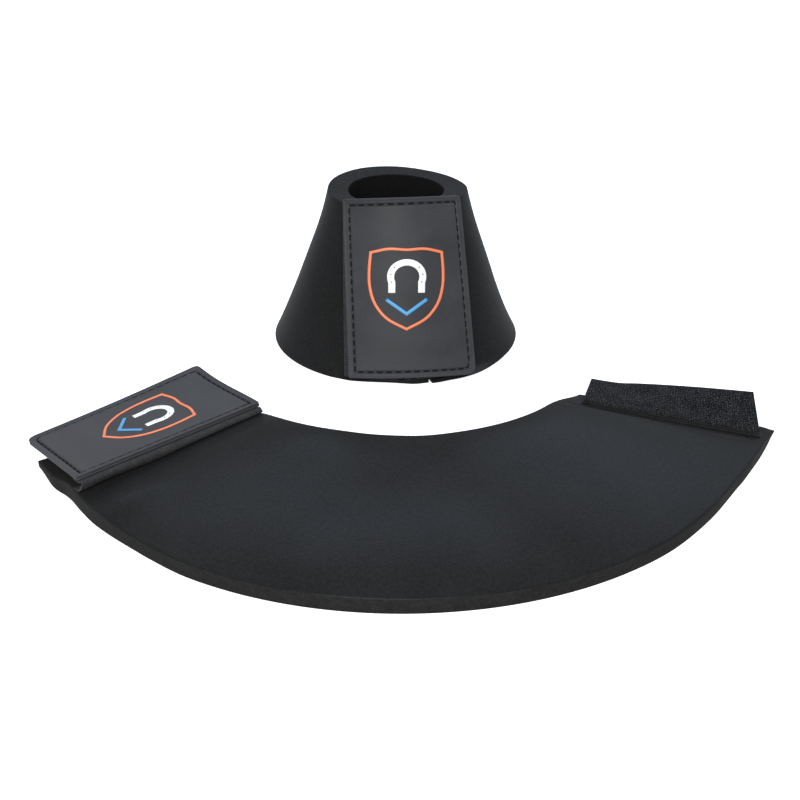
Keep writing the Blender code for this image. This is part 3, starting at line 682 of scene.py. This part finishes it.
def ribbon(path, width, place, closed):
    """A raised band with rounded shoulders along a path of the badge."""
    path = np.array(path) * BADGE_SIZE + (BADGE_ACROSS, BADGE_DOWN)
    n = len(path)
    section = [(-0.5, -0.5), (-0.5, 0.55), (-0.42, 0.9), (-0.25, 1.0), (0.0, 1.04), (0.25, 1.0), (0.42, 0.9),
               (0.5, 0.55), (0.5, -0.5)]
    flat, lifts = [], []
    for k in range(n):
        before = path[k - 1] if closed or k else path[k]
        after = path[(k + 1) % n] if closed or k + 1 < n else path[k]
        first = unit(path[k] - before) if (before != path[k]).any() else unit(after - path[k])
        second = unit(after - path[k]) if (after != path[k]).any() else first
        along = unit(first + second)
        side = np.array((-along[1], along[0]))
        spread = width / max(float(side @ np.array((-second[1], second[0]))), 0.6)
        for across, lift in section:
            flat.append(path[k] + side * spread * across)
            lifts.append(COVER_TOP + BADGE_HEIGHT * lift)
    flat = np.array(flat)
    count = len(section)
    points = place(flat[:, 0], flat[:, 1], np.array(lifts))
    return points, grid_faces(n, count, wrap_rows=closed, capped=not closed), flat


def shield_path():
    top = smooth_path([(-0.8, -0.9), (-0.4, -0.99), (0.0, -0.97), (0.4, -0.99), (0.8, -0.9)])
    right = smooth_path([(0.8, -0.9), (0.84, -0.45), (0.83, -0.05), (0.72, 0.36), (0.45, 0.73), (0.0, 1.0)])
    return top[:-1] + right + [np.array((-p[0], p[1])) for p in right[-2:0:-1]]


def chevron_path():
    """Two straight arms that meet in a point."""
    arm = [np.array((0.46 * (1 - t), 0.26 + 0.36 * t)) for t in np.linspace(0, 1, 12)]
    return [np.array((-p[0], p[1])) for p in arm[:-1]] + arm[::-1]


def shoe_path():
    """The horseshoe's arc, with straight heels."""
    centre, radius, half = np.array((0.0, -0.3)), 0.36, math.radians(112.0)
    heel = np.array((0.0, 0.26))
    arc = [centre + radius * np.array((math.sin(a), -math.cos(a))) for a in np.linspace(-half, half, 41)]
    first = [arc[0] + heel * (1 - t) for t in np.linspace(0, 1, 8, endpoint=False)]
    last = [arc[-1] + heel * t for t in np.linspace(0, 1, 9)[1:]]
    return first + arc + last


def nail_holes(place):
    """Small dark studs that stand for the horseshoe's nail holes."""
    parts = []
    path, sides = np.array(shoe_path()), 10
    angles = [2 * math.pi * k / sides for k in range(sides)]
    for share in (0.14, 0.24, 0.34, 0.66, 0.76, 0.86):
        spot = point_at(path, share * length_along(path)[-1]) * BADGE_SIZE + (BADGE_ACROSS, BADGE_DOWN)
        flat, lifts = [spot], [COVER_TOP + 0.00072]
        for radius, lift in ((0.0003, 0.00071), (0.00048, 0.00068), (0.00052, 0.0004)):
            flat += [spot + radius * np.array((math.cos(a), math.sin(a))) for a in angles]
            lifts += [COVER_TOP + lift] * sides
        flat = np.array(flat)
        faces = [(0, 1 + k, 1 + (k + 1) % sides) for k in range(sides)]
        faces += grid_faces(3, sides, 1)
        faces.append(tuple(1 + 2 * sides + k for k in range(sides))[::-1])
        parts.append((place(flat[:, 0], flat[:, 1], np.array(lifts)), faces, flat))
    return join(parts)


# ---- elastic strips and tabs

def strip(centres, normals, uv):
    """A closed strip of STRIP_HALF each side of rows of centre points."""
    rows, columns = centres.shape[:2]
    top = centres + normals * STRIP_HALF
    low = centres - normals * STRIP_HALF
    loop = np.concatenate([top, low[:, ::-1]], axis=1)
    uvs = np.concatenate([uv, uv[:, ::-1]], axis=1)
    faces = grid_faces(rows, 2 * columns)
    for row in (0, rows - 1):
        base = row * 2 * columns
        for k in range(columns - 1):
            faces.append((base + k, base + k + 1, base + 2 * columns - 2 - k, base + 2 * columns - 1 - k))
    return loop.reshape(-1, 3), faces, uvs.reshape(-1, 2)


# The strip's count of rows and its half thickness, and the columns of its three parts
STRIP_ROWS = 110
STRIP_HALF = 0.0005
# How far in from the panel's edge and from its seat the strip is sewn
SEWN_UNDER = (0.012, 0.009, 0.006, 0.004)
SEWN_DOWN = (0.0008, 0.0018, 0.0030, 0.0042)
PANEL_LEG = (0, 5)
FOLD = (4, 22)
WALL_LEG = (21, 26)


def elastic_rows(place, foot, bulge, tuck, moves):
    """The elastic strip: from under the panel, up beside the cover, round its fold, to the wall.
    Gives its centre points, normals and pattern in rows across the strip."""
    downs = np.linspace(0.001, PANEL_LONG - 0.001, STRIP_ROWS)
    centres = []
    for down in downs:
        d = np.array(down)
        far = down / PANEL_LONG
        edge = moves[0][0] + (moves[3][0] - moves[0][0]) * far
        line = [place(np.array(edge + a), d, -0.0010) for a in SEWN_UNDER]
        roll = [(0.0022, -0.0009), (0.0006, -0.0002), (-0.0002, 0.0009), (-0.0008 - edge * 0.2, 0.0012),
                (-0.0014 - edge * 0.6, 0.0006)]
        line += [place(np.array(edge + a), d, lift) for a, lift in roll]
        seat = tuck * far ** 1.5
        lower = 0.0010 + (open_crown_under(down) if tuck else 0.0)
        p0, p3 = line[-1], foot(np.array(seat), d, lower)
        p1 = p0 + (place(np.array(-bulge), d, -0.0016) - place(np.array(0.0), d, 0.0))
        p2 = foot(np.array(seat - bulge), d, lower + 0.0005)
        for t in np.linspace(0, 1, 14)[1:]:
            line.append((1 - t) ** 3 * p0 + 3 * t * (1 - t) ** 2 * p1 + 3 * t * t * (1 - t) * p2 + t ** 3 * p3)
        line += [foot(np.array(seat + a), d, lower) for a in SEWN_DOWN]
        centres.append(line)
    centres = np.array(centres)
    across = np.gradient(centres, axis=1)
    along = np.gradient(centres, axis=0)
    normals = unit(np.cross(across, along))
    return centres, normals, np.stack(np.meshgrid(length_along(centres[STRIP_ROWS // 2]), downs), -1)


def elastic_part(rows, columns, start=0, stop=None):
    """Some columns of the strip, in rows start to stop."""
    return strip(*(values[start:stop, columns[0]:columns[1]] for values in rows))


def open_crown_under(down):
    """How high the lying wall's crown stands under the panel's seat."""
    slant = SLANT * down / PANEL_LONG
    share = float(seat_share(1 - down / PANEL_LONG))
    slant = np.array(min(max(slant, 0.003), SLANT - 0.003))
    ground = np.array(0.0)
    return float(np.linalg.norm(open_place(share, 0.0, slant, ground) - opened(share, slant, ground)))


def layer(place, across, down, lifts, columns, rows, edge=0.0004, wave=0.0):
    """A flat layer of the pattern with softened edges."""
    a = np.concatenate([[across[0]], np.linspace(across[0] + edge, across[1] - edge, columns), [across[1]]])
    d = np.concatenate([[down[0]], np.linspace(down[0] + edge, down[1] - edge, rows), [down[1]]])
    aa, dd = np.meshgrid(a, d)
    low, high = lifts
    rim = np.minimum(1, np.minimum(np.minimum(aa - a[0], a[-1] - aa), np.minimum(dd - d[0], d[-1] - dd)) / edge)
    soft = (high - low) * 0.28 * (1 - rim)
    ripple = wave * np.sin(aa * 420 + 3 * np.sin(dd * 90)) * np.sin(dd * 260 + 1)
    top = place(aa, dd, high - soft + ripple)
    bottom = place(aa, dd, low + soft + ripple)
    r, c = aa.shape
    points = np.concatenate([top.reshape(-1, 3), bottom.reshape(-1, 3)])
    faces = grid_faces(r, c, 0, False) + grid_faces(r, c, r * c, False)
    ring = [k for k in range(c)] + [row * c + c - 1 for row in range(1, r)]
    ring += [(r - 1) * c + k for k in range(c - 1)[::-1]] + [row * c for row in range(1, r - 1)[::-1]]
    faces += [(one, two, two + r * c, one + r * c) for one, two in zip(ring, ring[1:] + ring[:1])]
    flat = np.stack([aa, dd], -1).reshape(-1, 2)
    return points, faces, np.concatenate([flat, flat])


# ---- materials

def fill(tree, item, **values):
    """Set a node's sockets and settings, or link the sockets whose value is another's output."""
    for key, value in values.items():
        socket = key.replace("_", " ")
        if isinstance(value, bpy.types.NodeSocket):
            tree.links.new(value, item.inputs[socket])
        elif socket in item.inputs:
            item.inputs[socket].default_value = value
        else:
            setattr(item, key, value)
    return item


def node(tree, kind, **values):
    return fill(tree, tree.nodes.new("ShaderNode" + kind), **values)


def math_node(tree, operation, first, second):
    item = node(tree, "Math", operation=operation)
    for k, value in enumerate((first, second)):
        if isinstance(value, (int, float)):
            item.inputs[k].default_value = value
        else:
            tree.links.new(value, item.inputs[k])
    return item.outputs[0]


class Surface:
    """A material in the making. Its textures lie on the flat pattern, in metres."""

    def __init__(self, name, roughness, specular):
        self.material = bpy.data.materials.new(name)
        self.material.use_nodes = True
        self.tree = self.material.node_tree
        self.shader = self.tree.nodes["Principled BSDF"]
        self.vector = node(self.tree, "UVMap", uv_map="pattern").outputs["UV"]
        self.set(Roughness=roughness, Specular_IOR_Level=specular)

    def set(self, **values):
        fill(self.tree, self.shader, **values)

    def noise(self, scale, detail, rough=0.5):
        return node(self.tree, "TexNoise", Scale=scale, Detail=detail, Roughness=rough,
                    Vector=self.vector).outputs["Fac"]

    def spread(self, scale, detail, rough, low=0.3, high=0.7):
        """Noise spread from 0 at low to 1 at high."""
        value = self.noise(scale, detail, rough)
        return node(self.tree, "MapRange", From_Min=low, From_Max=high, Value=value).outputs["Result"]

    def wave(self, scale, direction, distortion):
        return node(self.tree, "TexWave", bands_direction=direction, Scale=scale, Distortion=distortion,
                    Detail=1.0, Detail_Scale=2.0, Vector=self.vector).outputs["Fac"]

    def bands(self, pitch, direction, distortion):
        """Waves of a pitch in metres."""
        return self.wave(math.pi / 10 / pitch, direction, distortion)

    def mixed(self, operation, first, second):
        return math_node(self.tree, operation, first, second)

    def sum(self, *parts):
        """The sum of several values by their weights."""
        total = None
        for value, weight in parts:
            item = self.mixed("MULTIPLY", value, weight)
            total = item if total is None else self.mixed("ADD", total, item)
        return total

    def colour(self, value, low, high, start=0.3, stop=0.7):
        """The surface's colour, from low where the value is at start to high at stop."""
        item = node(self.tree, "ValToRGB", Fac=value)
        for element, place, tone in zip(item.color_ramp.elements, (start, stop), (low, high)):
            element.position = place
            element.color = (*tone, 1)
        self.set(Base_Color=item.outputs["Color"])

    def rough(self, value, low, high):
        item = node(self.tree, "MapRange", To_Min=low, To_Max=high, Value=value)
        self.set(Roughness=item.outputs["Result"])

    def bump(self, height, distance, strength):
        item = node(self.tree, "Bump", Strength=strength, Distance=distance, Height=height)
        self.set(Normal=item.outputs["Normal"])


def knit_material(name, low, high, gloss=0.0, wale=0.00062):
    """Jersey-knit nylon laid on foam: fine wales and courses, uneven yarn, lint and rubbed patches."""
    s = Surface(name, 0.9, 0.04)
    knit = s.mixed("MULTIPLY", s.bands(wale, "X", 1.6), s.bands(wale * 0.8, "Y", 1.6))
    yarn = s.spread(900.0, 3.0, 0.7)
    slub = s.spread(380.0, 2.0, 0.6)
    patch = s.spread(26.0, 3.0, 0.6)
    lint = s.spread(620.0, 1.0, 0.5, 0.70, 0.80)
    tone = s.sum((knit, 0.22), (yarn, 0.40), (slub, 0.18), (patch, 0.20), (lint, 0.35))
    s.colour(tone, low, high, 0.1, 0.85)
    s.rough(patch, 0.82, 0.97)
    s.set(Sheen_Weight=0.01, Sheen_Roughness=0.6, Coat_Weight=gloss, Coat_Roughness=0.27)
    s.bump(s.sum((knit, 0.5), (yarn, 0.9), (slub, 0.5)), 0.00010, 0.6)
    return s.material


def edge_material(name, low, high):
    """The walls' bound edges: close, slightly rough cloth over cut foam, scuffed along its length."""
    s = Surface(name, 0.85, 0.06)
    grain = s.spread(800.0, 4.0, 0.7)
    pores = s.spread(330.0, 2.0, 0.6)
    scuff = s.spread(45.0, 4.0, 0.7, 0.35, 0.7)
    s.colour(s.sum((grain, 0.4), (pores, 0.25), (scuff, 0.35)), low, high, 0.15, 0.85)
    s.rough(scuff, 0.75, 0.95)
    s.bump(s.sum((grain, 0.7), (pores, 0.6)), 0.00016, 0.6)
    return s.material


def moulded_material(name):
    """Matte moulded rubber: a fine skin grain, faint flow marks and handling smudges."""
    s = Surface(name, 0.5, 0.09)
    skin = s.noise(1100.0, 3.0, 0.55)
    cloud = s.spread(24.0, 4.0, 0.6)
    smudge = s.spread(75.0, 5.0, 0.65, 0.45, 0.75)
    tone = s.sum((cloud, 0.5), (skin, 0.2), (s.wave(9.0, "Y", 5.0), 0.12), (smudge, 0.18))
    s.colour(tone, (0.0315, 0.0320, 0.0345), (0.0470, 0.0478, 0.0520), 0.15, 0.85)
    s.rough(s.sum((cloud, 0.6), (smudge, 0.4)), 0.42, 0.62)
    s.bump(skin, 0.00006, 0.4)
    return s.material


def ribbed_material(name, low, high, pitch, depth):
    """Woven elastic or webbing: ribs one way and finer threads the other."""
    s = Surface(name, 0.85, 0.15)
    ribs = s.bands(pitch, "Y", 0.9)
    threads = s.bands(pitch * 0.6, "X", 1.2)
    grain = s.spread(1000.0, 3.0, 0.7)
    weave = s.mixed("MULTIPLY", ribs, s.mixed("ADD", s.mixed("MULTIPLY", threads, 0.6), 0.4))
    s.colour(s.sum((weave, 0.5), (grain, 0.3), (s.spread(120.0, 3.0, 0.6), 0.2)), low, high, 0.12, 0.8)
    s.rough(grain, 0.75, 0.95)
    s.set(Sheen_Weight=0.015, Sheen_Roughness=0.6)
    s.bump(s.sum((ribs, 1.0), (grain, 0.5)), depth, 0.8)
    return s.material


def loop_material(name):
    """Brushed loop facing: light loop tips in broken rows over dark ground threads."""
    s = Surface(name, 0.95, 0.05)
    grid = s.mixed("MAXIMUM", s.bands(0.0017, "Y", 1.4), s.bands(0.0019, "X", 1.4))
    tips = s.spread(980.0, 2.0, 0.7, 0.48, 0.64)
    fuzz = s.spread(700.0, 4.0, 0.75, 0.35, 0.7)
    clumps = s.spread(90.0, 3.0, 0.6)
    tone = s.mixed("MULTIPLY", s.sum((tips, 0.65), (fuzz, 0.35)), s.sum((grid, 0.7), (clumps, 0.5)))
    s.colour(tone, (0.0010, 0.0010, 0.0011), (0.068, 0.069, 0.072), 0.12, 0.85)
    s.rough(fuzz, 0.85, 1.0)
    s.set(Sheen_Weight=0.015, Sheen_Roughness=0.6)
    s.bump(tone, 0.0004, 0.8)
    return s.material


def hook_material(name):
    """Rows of small hooks on a stiff tape."""
    s = Surface(name, 0.6, 0.4)
    cells = node(s.tree, "TexVoronoi", Scale=900.0, Randomness=0.35, Vector=s.vector).outputs["Distance"]
    s.colour(cells, (0.035, 0.035, 0.037), (0.008, 0.008, 0.009), 0.1, 0.6)
    s.rough(s.noise(1600.0, 2.0), 0.45, 0.7)
    s.bump(s.mixed("SUBTRACT", 1.0, cells), 0.0005, 0.8)
    return s.material


def thread_material(name):
    """Twisted thread."""
    s = Surface(name, 0.7, 0.08)
    s.vector = node(s.tree, "TexCoord").outputs["Object"]
    twist = s.wave(700.0, "DIAGONAL", 1.0)
    s.colour(twist, (0.003, 0.003, 0.003), (0.012, 0.012, 0.013))
    s.bump(twist, 0.0001, 0.5)
    return s.material


def inlay_material(name, colour):
    """Coloured soft rubber of the badge, a little uneven."""
    s = Surface(name, 0.45, 0.4)
    cloud = s.noise(160.0, 4.0, 0.6)
    speck = s.noise(1800.0, 2.0, 0.5)
    tone = s.sum((cloud, 0.7), (speck, 0.3))
    s.colour(tone, [c * 0.86 for c in colour], [min(1.0, c * 1.06) for c in colour])
    s.rough(cloud, 0.38, 0.55)
    s.bump(speck, 0.00004, 0.4)
    return s.material


# ---- dressing the solids

KNIT = knit_material("knit_black", (0.0026, 0.0027, 0.0028), (0.0160, 0.0162, 0.0167), 0.08)
EDGE = edge_material("bound_edge_cloth", (0.0075, 0.0075, 0.0075), (0.0250, 0.0250, 0.0250))
LINING = knit_material("lining_jersey", (0.0028, 0.0028, 0.0030), (0.0130, 0.0130, 0.0134), 0.0, 0.0008)
MOULDED = moulded_material("moulded_rubber")
BACKER = knit_material("panel_backing_cloth", (0.0040, 0.0040, 0.0044), (0.0200, 0.0200, 0.0210), 0.0, 0.0007)
ELASTIC = ribbed_material("ribbed_elastic", (0.0016, 0.0016, 0.0018), (0.0490, 0.0490, 0.0510), 0.00115, 0.0003)
WEBBING = ribbed_material("tab_webbing_weave", (0.0030, 0.0030, 0.0033), (0.0260, 0.0260, 0.0275),
                          0.0013, 0.0002)
LOOPS = loop_material("loop_facing_pile")
HOOKS = hook_material("hook_tape")
THREAD = thread_material("black_thread")
ORANGE = inlay_material("badge_orange_rubber", (0.76, 0.185, 0.075))
BLUE = inlay_material("badge_blue_rubber", (0.06, 0.28, 0.55))
WHITE = inlay_material("badge_white_rubber", (0.82, 0.82, 0.82))
NAIL = inlay_material("badge_nail_rubber", (0.03, 0.03, 0.032))


# The standing wall's back spans BACK_BEND each side of its back line. Its ends are held to the
# seam over SEAM_REACH.
BACK_BEND = math.radians(50.0)
SEAM_REACH = 0.2
LAYERS = ("outer_cover", "foam_core", "inner_lining", "top_edge_strip", "bottom_edge_strip")


def dress_closed_wall():
    """The standing wall: two halves that ride their bodies, and a back between them."""
    half, radius = math.pi - BACK_BEND, 0.0009
    plain = closed_place(0)
    for label, side, body in (("left", -1, "shells"), ("right", 1, "closed_right_half")):
        seamed = closed_place(side)

        def place(u, *spot):
            return (seamed if abs(u) < SEAM_REACH else plain)(u, *spot)

        stations = np.linspace(0, side * half, 70)
        item = add_wall("closed_wall_" + label, place, closed_pattern, stations, radius, (True, False))
        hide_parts(*[f"closed_{part}_{label}" for part in LAYERS + ("end_strip",)])
        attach(item, body)
    stations = np.linspace(half, math.pi + BACK_BEND, 56)
    item = add_wall("closed_wall_back", plain, closed_pattern, stations, radius, (False, False))
    middle = Vector(bell(np.array(SEAM + math.pi), SLANT / 2, 0.0).tolist())
    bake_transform(item)


def dress_open_wall():
    item = add_wall("open_wall", open_place, open_pattern, np.linspace(-1, 1, 190), 0.0011, (True, True))
    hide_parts(*["open_" + part for part in LAYERS], "open_end_strip_left", "open_end_strip_right")
    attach(item, "shells")


def dress(name, made, material, body, slot, replaced=None):
    """A piece that rides a body, and replaces a node if one is named."""
    item = add_mesh(name, *made, material)
    if replaced:
        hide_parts(replaced)
    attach(item, body)


def dress_panel(prefix, place, foot, body, bulge, tuck, moves, folds):
    """A panel with its badge and its elastic, whose fold is made in as many pieces as folds gives."""
    line = panel_outline(GROOVE_INSET, moves)
    line = np.concatenate([line, line[:1]])
    for name, made, material, slot, node_name in (
            ("cover_moulded", panel_plate(place, COVER_LEVELS, moves, 0.0003), MOULDED, "moulded_panel",
             "panel_cover"),
            ("backing_cloth", panel_plate(place, BACKING_LEVELS, moves), BACKER, "knit_cloth", "panel_backing"),
            ("cover_stitches", stitches_along(line, place, COVER_TOP - 0.0006), THREAD, "thread",
             "panel_stitching"),
            ("shield", ribbon(shield_path(), SHIELD_BAND, place, True), ORANGE, "badge_orange", "badge_shield"),
            ("chevron", ribbon(chevron_path(), CHEVRON_BAND, place, False), BLUE, "badge_blue",
             "badge_chevron"),
            ("horseshoe", ribbon(shoe_path(), SHOE_BAND, place, False), WHITE, "badge_white",
             "badge_horseshoe")):
        dress(f"{prefix}_{name}", made, material, body, slot, f"{prefix}_{node_name}")
    dress(prefix + "_horseshoe_nails", nail_holes(place), NAIL, body, "moulded_panel")

    def under_free_edge(across, down, lift):
        wide = PANEL_NARROW + (PANEL_WIDE - PANEL_NARROW) * down / PANEL_LONG
        return place(wide - HOOK_TAPE_INSET - across, down, lift)

    tape = layer(under_free_edge, (0.0, HOOK_TAPE_WIDE), (HOOK_TAPE_SHORT, PANEL_LONG - HOOK_TAPE_SHORT),
                 (-0.0013, -0.0003), 24, 50)
    dress(prefix + "_hook_tape", tape, HOOKS, body, "webbing", prefix + "_panel_hook_patch")
    rows = elastic_rows(place, foot, bulge, tuck, moves)
    dress(prefix + "_elastic_panel_leg", elastic_part(rows, PANEL_LEG), ELASTIC, body, "webbing",
          prefix + "_elastic_upper")
    dress(prefix + "_elastic_wall_leg", elastic_part(rows, WALL_LEG), ELASTIC, "shells", "webbing",
          prefix + "_elastic_lower")
    centres = rows[0]
    cuts = np.linspace(0, STRIP_ROWS - 1, folds + 1).astype(int)
    for k, (first, last) in enumerate(zip(cuts, cuts[1:])):
        fold = add_mesh(f"{prefix}_elastic_fold_{k + 1}", *elastic_part(rows, FOLD, first, last + 1), ELASTIC)
        middle = (first + last) // 2
        edge = centres[[first, middle, last], FOLD[0]]
        level = unit(np.cross(edge[2] - edge[0], centres[middle, 2] - edge[1]))
        level = level if level[2] > 0 else -level
        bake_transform(fold)


def dress_tab(prefix, place, foot, body, seat_body):
    """A tab: its strap, loops, hooks and stitches, and its turned end, which is sewn to the wall."""
    sewn = np.stack([np.full(60, 0.0024), np.linspace(0.001, TAB_WIDE - 0.001, 60)], -1)
    for name, made, material, slot, node_name in (
            ("strap", layer(place, (0.0, TAB_LONG), (0.0, TAB_WIDE), (-TAB_HALF, TAB_HALF), 22, 66, 0.0005),
             WEBBING, "webbing", "webbing"),
            ("loops", layer(place, (0.0006, TAB_LONG - 0.0014), (0.0006, TAB_WIDE - 0.0006),
                            (TAB_HALF + 0.0001, TAB_HALF + LOOPS_HIGH), 60, 160, 0.0006, 0.00012),
             LOOPS, "webbing", "loop_facing"),
            ("hooks", layer(place, (TAB_LONG - 0.020, TAB_LONG - 0.001), (0.0025, TAB_WIDE - 0.0025),
                            (-TAB_HALF - 0.0012, -TAB_HALF - 0.0001), 16, 50),
             HOOKS, "webbing", "hook_patch"),
            ("stitches", stitches_along(sewn, place, TAB_HALF + LOOPS_HIGH, 0.0032, 0.0022, 0.0003),
             THREAD, "thread", "stitching")):
        dress(f"{prefix}_tab_{name}", made, material, body, slot, f"{prefix}_tab_{node_name}")
    hem = layer(foot, (0.0, 0.005), (0.0, TAB_WIDE), (0.0002, 0.0010), 8, 60, 0.0003)
    dress(prefix + "_tab_hem", hem, WEBBING, seat_body, "webbing", prefix + "_tab_turned_end")


dress_closed_wall()
dress_open_wall()
dress_panel("closed", closed_panel, closed_panel_foot, "closed_panel", 0.0012, 0.0,
            [(0.0006, 0.0), (0.0015, -0.0028), (0.0022, -0.0016), (0.0038, 0.0)], 4)
dress_panel("open", open_panel, open_panel_foot, "open_panel", 0.0022, 0.0112,
            [(0.0012, 0.0), (0.0, 0.0006), (0.0, 0.0), (0.0026, 0.0)], 1)
dress_tab("closed", closed_tab, closed_tab_foot, "closed_tab", "closed_right_half")
dress_tab("open", open_tab, open_tab_foot, "open_tab", "shells")


# ---- the studio

def mix_seen(tree, lit, seen, out):
    """seen for the rays that show the background (camera, glossy and transmission), lit for others."""
    path = node(tree, "LightPath").outputs
    shown = math_node(tree, "MAXIMUM", path["Is Camera Ray"], path["Is Glossy Ray"])
    shown = math_node(tree, "MAXIMUM", shown, path["Is Transmission Ray"])
    mix = node(tree, "MixShader")
    for k, source in enumerate((shown, lit.outputs[0], seen.outputs[0])):
        tree.links.new(source, mix.inputs[k])
    fill(tree, out, Surface=mix.outputs[0])


def add_floor():
    size = 8.0
    mesh = bpy.data.meshes.new("floor")
    mesh.from_pydata([(-size, -size, 0), (size, -size, 0), (size, size, 0), (-size, size, 0)], [],
                     [(0, 1, 2, 3)])
    material = bpy.data.materials.new("floor_white")
    material.use_nodes = True
    tree = material.node_tree
    tree.nodes.clear()
    both = node(tree, "AddShader")
    tree.links.new(node(tree, "BsdfDiffuse", Color=(0.6, 0.6, 0.6, 1)).outputs[0], both.inputs[0])
    tree.links.new(node(tree, "Emission", Color=(1, 1, 1, 1), Strength=0.84).outputs[0], both.inputs[1])
    plain = node(tree, "BsdfDiffuse", Color=(0.5, 0.5, 0.5, 1))
    mix_seen(tree, plain, both, node(tree, "OutputMaterial"))
    mesh.materials.append(material)
    add_object("floor", mesh)


def add_world():
    world = bpy.data.worlds.new("studio")
    bpy.context.scene.world = world
    world.use_nodes = True
    tree = world.node_tree
    tree.nodes.clear()
    lit, seen = (node(tree, "Background", Color=(1, 1, 1, 1), Strength=level) for level in (0.25, 1.0))
    mix_seen(tree, lit, seen, node(tree, "OutputWorld"))


def add_lamp(name, spot, target, size, power, colour=(1.0, 1.0, 1.0)):
    data = bpy.data.lights.new(name, "AREA")
    data.shape = "RECTANGLE"
    data.size, data.size_y = size
    data.energy = power
    data.color = colour
    lamp = add_object(name, data)
    lamp.location = spot
    lamp.rotation_euler = (Vector(target) - Vector(spot)).to_track_quat("-Z", "Y").to_euler()


# The camera that the photo's outlines give, and the tint of the strip lamps
LENS = 54.0
SENSOR = 36.0
CAMERA = (-0.001904, -0.744671, 0.40807)
PITCH = 0.4922
COOL = (0.66, 0.81, 1.0)


def add_camera():
    data = bpy.data.cameras.new("camera")
    data.lens = LENS
    data.sensor_width = SENSOR
    camera = add_object("camera", data)
    camera.location = CAMERA
    camera.rotation_euler = (math.pi / 2 - PITCH, 0.0, 0.0)
    bpy.context.scene.camera = camera


add_floor()
add_world()
add_lamp("back_strip", (0.0, 0.375, 1.17), (0.0, -0.15, 0.03), (0.75, 0.26), 4.8, COOL)
add_lamp("back_strip_left", (-0.40, 0.43, 0.82), (-0.12, -0.13, 0.03), (0.5, 0.26), 2.0, COOL)
add_lamp("back_strip_right", (0.50, 0.46, 0.64), (0.15, -0.11, 0.03), (0.6, 0.48), 3.5, COOL)
add_lamp("front_softbox", (-0.15, -1.3, 0.85), (0.0, 0.0, 0.05), (0.9, 0.9), 29.0)
add_camera()
bpy.context.scene.view_settings.view_transform = "Standard"
